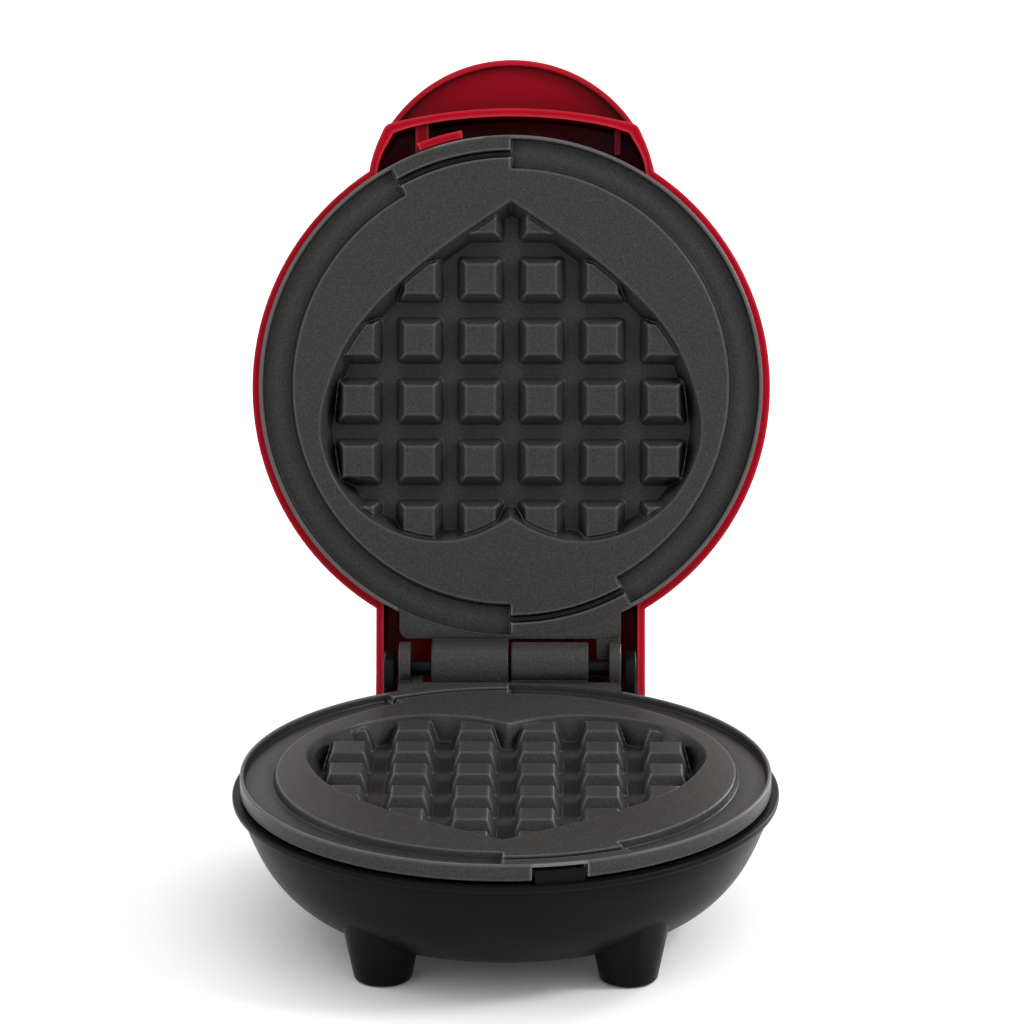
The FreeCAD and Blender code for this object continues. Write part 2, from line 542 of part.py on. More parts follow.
hook_keep = box("hook_keep", 10.8, 14, 20, (-22.9, -68, 40.5))
hook = common("lid_hook", hook_ring, hook_keep)
lid_posts, lid_sockets = [], []
for i, deg in enumerate((90, 210, 330)):
    px, py = ring_at(deg, "boss_ring")
    lid_posts.append(cyl("lid_post_%d" % i, "boss_rad + 1.4", 20, (px, py, "2 * hinge_z - boss_end - 3")))
    lid_sockets.append(cyl("lid_socket_%d" % i, "boss_rad + 0.05", 3.2, (px, py, "2 * hinge_z - boss_end - 3.2")))
lid_posts_c = common("lid_posts_trimmed", fuse("lid_post_set", *lid_posts), dome_out)
lens_seat = cyl("lens_seat", 6.0, 5.4, (0, "lens_y", 65.4))
lens_seat_c = common("lens_seat_trimmed", lens_seat, dome_out)
lens_hole = cyl("lens_hole", "lens_rad + 0.1", 12, (0, "lens_y", 62))
lid_sum = fuse("lid_sum", lid_shell, inner_wall, rib_r, rib_l, hook, lid_posts_c, lens_seat_c)
lid_cover = cut("lid_cover_closed", lid_sum, fuse("lid_tools", lens_hole, *lid_sockets))
lens = fuse("lens_closed", cyl("lens_stem", "lens_rad", 5.4, (0, "lens_y", 64.2)),
            cone("lens_crown", "lens_rad", 2.2, 0.8, (0, "lens_y", 69.6)),
            cyl("lens_flange", 4.6, 1.2, (0, "lens_y", 64.2)))
lamp = cyl("lamp_closed", 1.9, 2.2, (0, "lens_y", 62.0))
sleeve = cut("sleeve_closed", cyl("sleeve_tube", 3.0, 2.4, (0, "lens_y", 61.8)),
             cyl("sleeve_bore", 1.95, 4, (0, "lens_y", 61.0)))
doc.recompute()

# ---------------------------------------------------------------- inner parts
element = tubular_element("element")
shield = heat_shield("shield")
lower_inner = shield_screws("low_screw", True)
upper_inner = shield_screws("up_screw", False)
under_pan = "rim_z - recess_deep - recess_floor"
can = fuse("thermostat_sum", cyl("thermostat_can", "can_rad", "can_high", (0, 0, under_pan + " - can_high")),
           box("blade_a", 0.8, 4, 3.8, (2.6, -2, under_pan + " - can_high - 3.6")),
           box("blade_b", 0.8, 4, 3.8, (-3.4, -2, under_pan + " - can_high - 3.6")))
strap_z = under_pan + " - can_high - 0.8"
strap_tools = [cyl("strap_eye", 5.2, 3, (0, 0, strap_z + " - 1"))] + [
    cyl("strap_slot_%d" % i, 1.5, 3, ("%d * strap_x" % sx, 0, strap_z + " - 1")) for i, sx in enumerate((-1, 1))]
strap = cut("strap_sum", box("strap_bar", 32, 12, 0.8, (-16, -6, strap_z)), fuse("strap_tools", *strap_tools))
fuse_body = fuse("fuse_sum", cyl("fuse_case", 2.1, 10, (-5, 17, 26.9), (1, 0, 0)),
                 cyl("fuse_leads", 0.5, 17.2, (-8.6, 17, 26.9), (1, 0, 0)))
long_screws = []
for deg in (90, 210, 330):
    px, py = ring_at(deg, "boss_ring")
    long_screws.append(screw("base_screw_%d" % deg, px, py, "well_top", 1, "long_screw", 17.5, 2.8, 2.2))
gland = revolved("gland_solid", [("cord_bore", 0), (6.0, 0), (6.0, 1.5), ("gland_hole - 0.1", 1.5),
                                 ("gland_hole - 0.1", 3.75), (6.4, 3.75), (6.4, 4.9), (5.6, 5.3), (5.1, 9.0),
                                 ("cord_bore", 9.0)])
gland.Placement = Placement(Vector(D["gland_x"], D["block_back"] - D["wall"] - 1.52, D["gland_z"]),
                            Rotation(Vector(0, 0, 1), Vector(0, 1, 0)))
for letter, e in (("x", "gland_x"), ("y", "block_back - wall - 1.52"), ("z", "gland_z")):
    gland.setExpression("Placement.Base." + letter, X(e))
connectors = [cone("connector_%d" % i, 2.7, 2.3, 10, (x, 34, 13.3), (0, -1, 0)) for i, x in enumerate((22, -22))]
hinge_pin = cyl("hinge_pin_rod", "pin_rad", 55.8, (-27.9, "hinge_y", "hinge_z"), (1, 0, 0))


def wire(name, points, radius):
    """An insulated lead: a round tube along straight runs joined by tangent arcs."""
    pts = [Vector(*p) for p in points]
    edges, here = [], pts[0]
    for i in range(1, len(pts) - 1):
        u = (pts[i - 1] - pts[i])
        v = (pts[i + 1] - pts[i])
        run = 0.45 * min(u.Length, v.Length)
        u.normalize()
        v.normalize()
        a, b = pts[i] + u * run, pts[i] + v * run
        half = u + v
        half.normalize()
        cos_half = u.dot(half)
        # the arc touches both runs at a and b; its centre lies on the bisector
        centre = pts[i] + half * (run / cos_half)
        r = (a - centre).Length
        edges.append(Part.LineSegment(here, a).toShape())
        edges.append(Part.Arc(a, centre - half * r, b).toShape())
        here = b
    edges.append(Part.LineSegment(here, pts[-1]).toShape())
    tangent = pts[1] - pts[0]
    profile = Part.Wire([Part.makeCircle(radius, pts[0], tangent)])
    feature = doc.addObject("Part::Feature", name)
    feature.Shape = Part.Wire(edges).makePipeShell([profile], True, True)
    return feature


BASE_LEADS = [
    [(14.2, 64.5, 19.5), (14.2, 54, 19.5), (15.5, 47, 17), (19, 42.5, 14.4), (21.2, 38.2, 13.3), (21.2, 34.2, 13.3)],
    [(11.8, 64.5, 19.5), (11.8, 54, 19.5), (11.6, 45, 16.6), (8, 38.8, 14.2), (0, 37.4, 13.6), (-13, 37.6, 13.4),
     (-22, 39.6, 13.3), (-22, 34.2, 13.3)],
    [(22, 23.8, 13.3), (22, 20, 13.3), (14, 9.5, 13.3), (6.6, 2.2, 13.6), (3.0, 0, 15.2), (3.0, 0, 19.4)],
    [(-3.0, 0, 19.4), (-3.0, 0, 17.4), (-5.2, 3.4, 17.8), (-7.2, 7.2, 20.5), (-10.4, 12, 22.8), (-13.4, 15.6, 25.2),
     (-13.0, 17, 26.9), (-8.8, 17, 26.9)],
    [(8.8, 17, 26.9), (13.2, 17, 26.9), (15.6, 19.6, 24.6), (17.6, 24.6, 21.0), (17.2, 31.01, 20.0),
     (12.65, 31.01, 20.0)],
    [(-22, 23.8, 13.3), (-22, 20, 13.3), (-17, 17.6, 12.8), (-12, 22, 11.6), (-11.287, 31.01, 11.3),
     (-11.287, 31.01, 15.05)],
    [(23.2, 34.2, 13.7), (23.2, 38.6, 13.7), (25, 44.5, 15.4), (25.4, 52, 18.5), (23.6, 60, 23.5), (22.3, 65.4, 27.5),
     (22.3, 65.4, 33.0)],
]
LID_LEADS = [
    [(22.3, 74, 45.6), (21, 70, 51.5), (15, 62, 54.5), (4, 56, 56.6), (-6, 51.6, 59.2), (-11.287, 44, 61.2),
     (-11.287, 32.4, 61.2)],
    [(25.0, 74, 45.6), (25.4, 68, 51.6), (23.6, 58, 54.8), (19.4, 49, 58.4), (14.5, 43, 60.7), (11.287, 38.4, 61.2),
     (11.287, 32.4, 61.2)],
    [(11.287, 29.6, 61.2), (11.287, 25, 61.2), (13, 15, 61.0), (12, 0, 61.0), (8.6, -14, 61.0), (4.0, -24.5, 60.3),
     (1.5, -28.7, 60.35), (0.95, -29.9, 61.2)],
    [(-11.287, 29.6, 61.2), (-11.287, 25, 61.2), (-13, 15, 61.0), (-12, 0, 61.0), (-8.6, -14, 61.0),
     (-4.0, -24.5, 60.3), (-1.5, -28.7, 60.35), (-0.95, -29.9, 61.2)],
]
base_leads = [wire("base_lead_%d" % i, p, 0.9) for i, p in enumerate(BASE_LEADS)]
lid_leads = [wire("lid_lead_%d" % i, p, 0.75) for i, p in enumerate(LID_LEADS)]
doc.recompute()

# ---------------------------------------------------------------- nodes, at rest with the lid open
SHIFT = "vector(0; -Dims.frame_y; 0)"
nodes = []


def node(label, body, *objs):
    """One sub-part: its solids grouped, then moved to where they are with the lid open."""
    group = doc.addObject("Part::Compound", "node_" + label)
    group.Links = list(objs)
    group.Label = label
    if body == "base":
        group.setExpression("Placement", "placement(%s; rotation(vector(1; 0; 0); 0))" % SHIFT)
    else:
        group.setExpression(
            "Placement",
            "placement(%s; rotation(vector(1; 0; 0); -Dims.lid_open); vector(0; Dims.hinge_y; Dims.hinge_z))" % SHIFT)
    nodes.append(group)
    return group


def flipped(name, *objs):
    """The same pieces turned over about the line through the hinge axis height, for the lid."""
    group = doc.addObject("Part::Compound", name)
    group.Links = list(objs)
    group.setExpression(
        "Placement", "placement(vector(0; 0; 0); rotation(vector(0; 1; 0); 180); vector(0; 0; Dims.hinge_z))")
    return group


lifted = doc.addObject("Part::Compound", "casting_in_place")
lifted.Links = [casting]
lifted.setExpression("Placement.Base.z", "Dims.rim_z")

node("base_housing", "base", base_housing)
node("foot_pads", "base", *pads)
node("lower_plate", "base", lifted)
node("lower_heating_element", "base", element)
node("lower_heat_shield", "base", shield)
node("lower_inner_screws", "base", *lower_inner)
node("control_thermostat", "base", can)
node("thermostat_strap", "base", strap)
node("thermal_fuse", "base", fuse_body)
node("base_screws", "base", *long_screws)
node("cord_gland", "base", gland)
node("wire_connectors", "base", *connectors)
node("base_wiring", "base", *base_leads)
node("hinge_pin", "base", hinge_pin)
node("lid_cover", "lid", lid_cover)
node("upper_plate", "lid", flipped("upper_casting", lifted))
node("upper_heating_element", "lid", flipped("upper_element", element))
node("upper_heat_shield", "lid", flipped("upper_shield", shield))
node("upper_inner_screws", "lid", flipped("upper_screws", *upper_inner))
node("indicator_lens", "lid", lens)
node("indicator_lamp", "lid", lamp)
node("lamp_sleeve", "lid", sleeve)
node("lid_wiring", "lid", *lid_leads)
doc.recompute()

for obj in doc.Objects:
    if "Invalid" in obj.State or "Error" in obj.State:
        raise RuntimeError("%s is %s" % (obj.Name, obj.State))
os.makedirs("parts", exist_ok=True)
for old in os.listdir("parts"):
    if old.endswith(".step"):
        os.remove(os.path.join("parts", old))
for group in nodes:
    shape = group.Shape
    if not shape.isValid() or not shape.Solids:
        raise RuntimeError(group.Label + " is not a valid solid")
    box_ = shape.BoundBox
    print("%-22s solids %2d  volume %9.1f  x %.1f..%.1f  y %.1f..%.1f  z %.1f..%.1f" % (
        group.Label, len(shape.Solids), shape.Volume, box_.XMin, box_.XMax, box_.YMin, box_.YMax,
        box_.ZMin, box_.ZMax))
    shape.exportStep("parts/%s.step" % group.Label)
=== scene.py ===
import bpy
import json
import math
import numpy as np
from mathutils import Matrix, Vector


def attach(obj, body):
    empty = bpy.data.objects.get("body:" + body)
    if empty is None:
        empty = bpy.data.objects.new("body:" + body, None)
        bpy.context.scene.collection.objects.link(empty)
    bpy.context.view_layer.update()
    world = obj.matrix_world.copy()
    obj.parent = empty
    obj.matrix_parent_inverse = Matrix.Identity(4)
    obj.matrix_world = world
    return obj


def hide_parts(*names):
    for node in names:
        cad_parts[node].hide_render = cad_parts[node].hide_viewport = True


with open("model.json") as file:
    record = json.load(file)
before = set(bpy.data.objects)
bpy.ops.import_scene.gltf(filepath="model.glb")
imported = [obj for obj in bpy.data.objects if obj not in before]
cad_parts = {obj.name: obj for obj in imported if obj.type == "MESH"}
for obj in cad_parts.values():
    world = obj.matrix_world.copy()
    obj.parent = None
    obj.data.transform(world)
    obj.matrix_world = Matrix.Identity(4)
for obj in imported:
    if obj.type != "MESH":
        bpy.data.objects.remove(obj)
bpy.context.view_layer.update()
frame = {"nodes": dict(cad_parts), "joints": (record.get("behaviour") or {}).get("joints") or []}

# ------------------------------------------------------------------ places
# Shapes are drawn in millimetres about the base centre with the lid closed, as in
# the CAD, and then put where the CAD has them with the lid standing open.
hinge = frame["joints"][0]
HY, HZ = 69.4, 38.6
SHIFT = hinge["pos_m"][1] * 1000.0 - HY
OPEN = math.radians(hinge["range_deg"][1])
T, R = Matrix.Translation, Matrix.Rotation
BASE = Matrix.Scale(0.001, 4) @ T((0, SHIFT, 0))
LID = BASE @ T((0, HY, HZ)) @ R(-OPEN, 4, "X") @ T((0, -HY, -HZ))
FLIP = T((0, 0, HZ)) @ R(math.pi, 4, "Y") @ T((0, 0, -HZ))
RIM_Z = 37.6
YZ = Matrix(((0, 0, 1, 0), (1, 0, 0, 0), (0, 1, 0, 0), (0, 0, 0, 1)))   # (u, v, w) -> x=w, y=u, z=v


# ------------------------------------------------------------------ mesh helpers
def make(name, verts, faces, matrix=None, material=None, angle=32.0):
    me = bpy.data.meshes.new(name)
    me.from_pydata([tuple(map(float, v)) for v in verts], [], [tuple(map(int, f)) for f in faces])
    me.validate()
    ob = bpy.data.objects.new(name, me)
    bpy.context.scene.collection.objects.link(ob)
    if matrix is not None:
        me.transform(matrix)
        if matrix.determinant() < 0:
            me.flip_normals()
    if material is not None:
        me.materials.append(material)
    shade(me, angle)
    return ob


def shade(me, angle=32.0):
    me.shade_smooth()
    me.set_sharp_from_angle(angle=math.radians(angle))


def fillet(points, radii, seg=5, closed=True):
    """Polyline with its corners rounded; radii is one number or one per point."""
    n, out = len(points), []
    for i, p in enumerate(points):
        r = radii if isinstance(radii, (int, float)) else radii[i]
        if r <= 0 or (not closed and i in (0, n - 1)):
            out.append((float(p[0]), float(p[1])))
            continue
        a, b = np.array(points[i - 1], float), np.array(points[(i + 1) % n], float)
        c = np.array(p, float)
        u, v = (a - c), (b - c)
        lu, lv = np.linalg.norm(u), np.linalg.norm(v)
        u, v = u / lu, v / lv
        cosang = float(np.clip(u @ v, -1, 1))
        half = math.acos(cosang) / 2
        if half > math.pi / 2 - 0.02:
            out.append(tuple(c))
            continue
        t = min(r / math.tan(half), 0.48 * lu, 0.48 * lv)
        rr = t * math.tan(half)
        bis = (u + v) / np.linalg.norm(u + v)
        centre = c + bis * (rr / math.sin(half))
        s, e = c + u * t - centre, c + v * t - centre
        a0, a1 = math.atan2(s[1], s[0]), math.atan2(e[1], e[0])
        d = (a1 - a0 + math.pi) % (2 * math.pi) - math.pi
        for k in range(seg + 1):
            w = a0 + d * k / seg
            out.append((centre[0] + rr * math.cos(w), centre[1] + rr * math.sin(w)))
    return out


def spline(points, count):
    """Natural cubic spline through the points, by chord length."""
    p = np.array(points, float)
    t = np.concatenate([[0], np.cumsum(np.linalg.norm(np.diff(p, axis=0), axis=1))])
    n = len(p)
    A, B = np.zeros((n, n)), np.zeros((n, p.shape[1]))
    h = np.diff(t)
    A[0, 0] = A[-1, -1] = 1
    for i in range(1, n - 1):
        A[i, i - 1], A[i, i], A[i, i + 1] = h[i - 1], 2 * (h[i - 1] + h[i]), h[i]
        B[i] = 6 * ((p[i + 1] - p[i]) / h[i] - (p[i] - p[i - 1]) / h[i - 1])
    M = np.linalg.solve(A, B)
    s = np.linspace(0, t[-1], count)
    k = np.clip(np.searchsorted(t, s, side="right") - 1, 0, n - 2)
    a, b, hk = (t[k + 1] - s)[:, None], (s - t[k])[:, None], h[k][:, None]
    return (M[k] * a ** 3 + M[k + 1] * b ** 3) / (6 * hk) + (p[k] / hk - M[k] * hk / 6) * a + \
        (p[k + 1] / hk - M[k + 1] * hk / 6) * b


def resample(points, step, closed=True):
    p = np.array(points, float)
    if closed:
        p = np.vstack([p, p[:1]])
    out = []
    for a, b in zip(p[:-1], p[1:]):
        k = max(1, int(math.ceil(np.linalg.norm(b - a) / step)))
        for i in range(k):
            out.append(a + (b - a) * i / k)
    if not closed:
        out.append(p[-1])
    return [tuple(q) for q in out]


def revolve(profile, n=256, a0=None, a1=None):
    """Closed surface from a closed (r, z) loop turned about Z. Points at r = 0 are poles."""
    full = a0 is None
    angles = np.linspace(0, 2 * math.pi, n, endpoint=False) if full else np.linspace(a0, a1, n)
    verts, ring = [], []
    for r, z in profile:
        if r < 1e-6:
            ring.append([len(verts)] * len(angles))
            verts.append((0.0, 0.0, z))
        else:
            ring.append(list(range(len(verts), len(verts) + len(angles))))
            verts += [(r * math.cos(a), r * math.sin(a), z) for a in angles]
    faces, m, k = [], len(profile), len(angles)
    for i in range(m):
        j = (i + 1) % m
        if profile[i][0] < 1e-6 and profile[j][0] < 1e-6:
            continue
        for q in range(k if full else k - 1):
            p = (q + 1) % k
            f = [ring[i][q], ring[j][q], ring[j][p], ring[i][p]]
            g = []
            for x in f:
                if x not in g:
                    g.append(x)
            if len(g) > 2:
                faces.append(g[::-1])
    if not full:
        faces.append([ring[i][0] for i in range(m)])
        faces.append([ring[i][k - 1] for i in range(m)][::-1])
    return verts, faces


def area2(points):
    p = np.array(points)
    q = np.roll(p, -1, axis=0)
    return 0.5 * float(np.sum(p[:, 0] * q[:, 1] - q[:, 0] * p[:, 1]))


def prism(outline, z0, z1, r0=0.35, r1=0.35, seg=3):
    """Closed prism from a 2-D outline with rounded bottom (r0) and top (r1) edges."""
    p = np.array(outline, float)
    if area2(p) < 0:
        p = p[::-1]
    prv, nxt = np.roll(p, 1, axis=0), np.roll(p, -1, axis=0)
    e1, e2 = p - prv, nxt - p
    n1 = np.stack([e1[:, 1], -e1[:, 0]], 1) / np.maximum(np.linalg.norm(e1, axis=1), 1e-9)[:, None]
    n2 = np.stack([e2[:, 1], -e2[:, 0]], 1) / np.maximum(np.linalg.norm(e2, axis=1), 1e-9)[:, None]
    nn = n1 + n2
    nn /= np.maximum((nn * nn).sum(1) / 2, 0.4)[:, None]
    rings = []
    for k in range(seg + 1):
        a = math.pi / 2 * k / seg
        rings.append((r0 * (1 - math.sin(a)), z0 + r0 * (1 - math.cos(a))))
    for k in range(seg + 1):
        a = math.pi / 2 * k / seg
        rings.append((r1 * (1 - math.cos(a)), z1 - r1 * (1 - math.sin(a))))
    rings = [q for i, q in enumerate(rings) if i == 0 or q != rings[i - 1]]
    m, verts, faces = len(p), [], []
    for inset, z in rings:
        q = p - nn * inset
        verts += [(x, y, z) for x, y in q]
    for i in range(len(rings) - 1):
        for j in range(m):
            k = (j + 1) % m
            faces.append((i * m + j, i * m + k, (i + 1) * m + k, (i + 1) * m + j))
    faces.append(tuple(range(m))[::-1])
    top = (len(rings) - 1) * m
    faces.append(tuple(range(top, top + m)))
    return verts, faces


def combine(op, name, first, *others, solver="MANIFOLD"):
    """Boolean of objects that are then removed; the result keeps the first one's name."""
    ob = first
    for other in others:
        mod = ob.modifiers.new("b", "BOOLEAN")
        mod.operation, mod.object, mod.solver = op, other, solver
        dg = bpy.context.evaluated_depsgraph_get()
        me = bpy.data.meshes.new_from_object(ob.evaluated_get(dg))
        if len(me.polygons) == 0 or (op != "INTERSECT" and len(me.vertices) < 8):
            mod.solver = "EXACT"
            dg = bpy.context.evaluated_depsgraph_get()
            me = bpy.data.meshes.new_from_object(ob.evaluated_get(dg))
        ob.modifiers.clear()
        old = ob.data
        ob.data = me
        bpy.data.meshes.remove(old)
        om = other.data
        bpy.data.objects.remove(other)
        bpy.data.meshes.remove(om)
    ob.name = name
    return ob


def join(name, *objs):
    """Several closed shells kept together as one piece."""
    verts, faces, base = [], [], 0
    mats = objs[0].data.materials[:]
    sharp = []
    me = bpy.data.meshes.new(name)
    for o in objs:
        co = np.zeros(len(o.data.vertices) * 3)
        o.data.vertices.foreach_get("co", co)
        verts.append(co.reshape(-1, 3))
        faces += [tuple(v + base for v in f.vertices) for f in o.data.polygons]
        base += len(o.data.vertices)
    me.from_pydata([tuple(v) for v in np.vstack(verts)], [], faces)
    for m in mats:
        me.materials.append(m)
    for o in objs:
        om = o.data
        bpy.data.objects.remove(o)
        bpy.data.meshes.remove(om)
    ob = bpy.data.objects.new(name, me)
    bpy.context.scene.collection.objects.link(ob)
    return ob


def place(ob, matrix, material, body, slot, *nodes, angle=32.0):
    ob.data.transform(matrix)
    ob.data.materials.clear()
    ob.data.materials.append(material)
    shade(ob.data, angle)
    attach(ob, body)
    if nodes:
        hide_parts(*nodes)
    return ob


# ------------------------------------------------------------------ materials
class Mat:
    """A small wrapper that wires a procedural Principled material."""

    def __init__(self, name, **sockets):
        self.m = bpy.data.materials.new(name)
        self.m.use_nodes = True
        self.t = self.m.node_tree
        self.b = self.t.nodes["Principled BSDF"]
        self.coord = self.t.nodes.new("ShaderNodeTexCoord").outputs["Object"]
        for key, value in sockets.items():
            self.b.inputs[key.replace("_", " ")].default_value = value

    def node(self, kind, **props):
        n = self.t.nodes.new(kind)
        for k, v in props.items():
            setattr(n, k, v)
        return n

    def noise(self, scale, detail=2.0, rough=0.5, stretch=None):
        n = self.node("ShaderNodeTexNoise")
        n.inputs["Scale"].default_value = scale
        n.inputs["Detail"].default_value = detail
        n.inputs["Roughness"].default_value = rough
        src = self.coord
        if stretch:
            mp = self.node("ShaderNodeMapping")
            mp.inputs["Scale"].default_value = stretch
            self.t.links.new(src, mp.inputs["Vector"])
            src = mp.outputs["Vector"]
        self.t.links.new(src, n.inputs["Vector"])
        return n.outputs["Fac"]

    def ramp(self, fac, stops):
        n = self.node("ShaderNodeValToRGB")
        e = n.color_ramp.elements
        while len(e) < len(stops):
            e.new(0.5)
        for i, (pos, col) in enumerate(stops):
            e[i].position = pos
            e[i].color = (*col, 1.0) if len(col) == 3 else col
        self.t.links.new(fac, n.inputs["Fac"])
        return n.outputs["Color"]

    def span(self, fac, lo, hi, flo=0.0, fhi=1.0):
        n = self.node("ShaderNodeMapRange")
        n.inputs["From Min"].default_value = flo
        n.inputs["From Max"].default_value = fhi
        n.inputs["To Min"].default_value = lo
        n.inputs["To Max"].default_value = hi
        self.t.links.new(fac, n.inputs["Value"])
        return n.outputs["Result"]

    def cavity_shade(self, colour, distance, dark, power=1.0):
        """The colour with painted shade: darkened towards the dark colour in grooves and hollows of the piece itself.
        """
        ao = self.node("ShaderNodeAmbientOcclusion", samples=8, only_local=True)
        ao.inputs["Distance"].default_value = distance
        f = self.node("ShaderNodeMath", operation="POWER")
        self.t.links.new(ao.outputs["AO"], f.inputs[0])
        f.inputs[1].default_value = power
        mix = self.node("ShaderNodeMix", data_type="RGBA")
        self.t.links.new(f.outputs[0], mix.inputs["Factor"])
        mix.inputs[6].default_value = (*dark, 1.0)
        self.t.links.new(colour, mix.inputs[7])
        return mix.outputs[2]

    def edges(self, colour, distance, light, gain, where=None):
        """The colour with a painted highlight, lighter along outer edges; where names a mesh attribute that limits it.
        """
        ao = self.node("ShaderNodeAmbientOcclusion", samples=6, only_local=True, inside=True)
        ao.inputs["Distance"].default_value = distance
        f = self.node("ShaderNodeMapRange")
        f.inputs["From Min"].default_value = 0.92
        f.inputs["From Max"].default_value = 0.55
        f.inputs["To Min"].default_value = 0.0
        f.inputs["To Max"].default_value = gain
        self.t.links.new(ao.outputs["AO"], f.inputs["Value"])
        highlight = f.outputs[0]
        if where:
            at = self.node("ShaderNodeAttribute", attribute_name=where)
            mul = self.node("ShaderNodeMath", operation="MULTIPLY")
            self.t.links.new(highlight, mul.inputs[0])
            self.t.links.new(at.outputs["Fac"], mul.inputs[1])
            highlight = mul.outputs[0]
        mix = self.node("ShaderNodeMix", data_type="RGBA")
        self.t.links.new(highlight, mix.inputs["Factor"])
        self.t.links.new(colour, mix.inputs[6])
        mix.inputs[7].default_value = (*light, 1.0)
        return mix.outputs[2]

    def link(self, out, socket):
        self.t.links.new(out, self.b.inputs[socket])

    def bump(self, height, strength, distance, previous=None):
        n = self.node("ShaderNodeBump")
        n.inputs["Strength"].default_value = strength
        n.inputs["Distance"].default_value = distance
        self.t.links.new(height, n.inputs["Height"])
        if previous is not None:
            self.t.links.new(previous, n.inputs["Normal"])
        return n.outputs["Normal"]


def lin(r, g, b):
    f = lambda c: c / 255 / 12.92 if c / 255 <= 0.04045 else ((c / 255 + 0.055) / 1.055) ** 2.4
    return (f(r), f(g), f(b))


def coated(name):
    """Dark grey non-stick coating: fine speckle, slight orange peel, painted shade in its grooves and a painted
    highlight along its edges.
    """
    m = Mat(name, Metallic=0.0, IOR=1.45, Specular_IOR_Level=0.18)
    flecks = m.noise(2300, 1.0, 0.6)
    cloud = m.noise(60, 3.0, 0.55)
    col = m.ramp(flecks, [(0.30, lin(40, 39, 39)), (0.50, lin(50, 49, 48)), (0.66, lin(55, 54, 53)),
                          (0.82, lin(68, 67, 66))])
    # painted shade: near black in the grooves and hollows; painted highlight: light grey along outer edges, limited by
    # the mask
    m.link(m.edges(m.cavity_shade(col, 0.0036, lin(1, 1, 1), 2.3), 0.0007, lin(122, 120, 118), 0.85, "highlight_mask"), "Base Color")
    m.link(m.span(cloud, 0.29, 0.37), "Roughness")
    m.link(m.bump(m.noise(900, 3.0, 0.6), 0.30, 0.00012), "Normal")
    return m.m


def plastic(name, colour, rough, fine=1400, strength=0.12, depth=0.00008, tint=0.12, coat=0.0, spec=0.5, cave_shade=None, highlight=None):
    m = Mat(name, Specular_IOR_Level=spec, Coat_Weight=coat, Coat_Roughness=0.12)
    cloud = m.noise(35, 4.0, 0.6)
    dark = tuple(c * (1 - tint) for c in colour)
    light = tuple(min(1, c * (1 + tint)) for c in colour)
    base = m.ramp(cloud, [(0.3, dark), (0.7, light)])
    # optional painted shade in hollows, and optional painted highlight along outer edges
    base = m.cavity_shade(base, *cave_shade) if cave_shade else base
    m.link(m.edges(base, *highlight) if highlight else base, "Base Color")
    m.link(m.span(m.noise(180, 4.0, 0.6), rough - 0.04, rough + 0.05), "Roughness")
    m.link(m.bump(m.noise(fine, 2.0, 0.5), strength, depth), "Normal")
    return m.m


def metal(name, colour, rough, stretch=(1, 1, 1), scale=600, tint=0.15, strength=0.15):
    m = Mat(name, Metallic=1.0)
    grain = m.noise(scale, 4.0, 0.65, stretch)
    m.link(m.ramp(grain, [(0.3, tuple(c * (1 - tint) for c in colour)),
                          (0.7, tuple(min(1, c * (1 + tint)) for c in colour))]), "Base Color")
    m.link(m.span(grain, rough - 0.08, rough + 0.1), "Roughness")
    m.link(m.bump(grain, strength, 0.00005), "Normal")
    return m.m


MAT_PLATE = coated("nonstick_coating")
MAT_BASE = plastic("black_housing", lin(15, 14, 14), 0.34, tint=0.10, spec=0.055)
# red moulding with painted shade, dark red in its hollows and inside the hood, and a pink painted highlight along its
# outer edges
MAT_RED = plastic("red_moulding", lin(148, 1, 23), 0.20, fine=500, strength=0.05, depth=0.00005, tint=0.05,
                  coat=0.0, spec=0.06, cave_shade=(0.014, lin(30, 2, 6), 1.1), highlight=(0.0010, lin(205, 62, 72), 0.55))
MAT_RUBBER = plastic("black_rubber", lin(22, 22, 22), 0.75, fine=2200, strength=0.3, depth=0.00010, spec=0.3)
MAT_PIN = plastic("blackened_steel", lin(9, 9, 9), 0.45, spec=0.10)
MAT_SCREW = metal("zinc_plate", (0.58, 0.57, 0.55), 0.35)
MAT_SHEET = metal("aluminised_sheet", (0.70, 0.70, 0.71), 0.38, (1, 14, 1))
MAT_ELEMENT = metal("element_sheath", (0.24, 0.22, 0.20), 0.5, tint=0.3)
MAT_CAN = metal("stamped_can", (0.62, 0.60, 0.57), 0.33)
MAT_CERAMIC = plastic("glazed_ceramic", (0.78, 0.77, 0.74), 0.18, strength=0.05, tint=0.03)
MAT_WIRE = plastic("silicone_sleeve", lin(24, 24, 24), 0.55, tint=0.1, spec=0.2)


def amber():
    m = Mat("amber_lens", Transmission_Weight=0.75, IOR=1.49, Specular_IOR_Level=0.5)
    m.link(m.ramp(m.noise(90, 3.0), [(0.3, (0.72, 0.20, 0.012)), (0.7, (0.85, 0.30, 0.02))]), "Base Color")
    m.link(m.span(m.noise(300, 2.0), 0.10, 0.16), "Roughness")
    return m.m


def lamp_glass():
    m = Mat("lamp_glass", Transmission_Weight=0.9, IOR=1.5)
    m.link(m.ramp(m.noise(200, 2.0), [(0.3, (0.85, 0.70, 0.55)), (0.7, (0.95, 0.85, 0.72))]), "Base Color")
    m.link(m.span(m.noise(400, 2.0), 0.06, 0.12), "Roughness")
    return m.m


MAT_LENS, MAT_LAMP = amber(), lamp_glass()


# ------------------------------------------------------------------ plate casting
HEART = [(0.0, -45.8), (8.2, -40.3), (16.05, -34.9), (23.8, -28.9), (30.6, -22.8),
         (36.4, -16.5), (41.4, -9.0), (45.1, 0.4), (46.8, 8.3), (46.3, 15.2),
         (43.7, 22.2), (39.4, 28.5), (33.7, 33.3), (27.0, 36.6), (18.6, 38.2),
         (11.3, 37.5), (5.3, 35.3), (0.0, 32.3)]
half_heart = spline(HEART, 200)


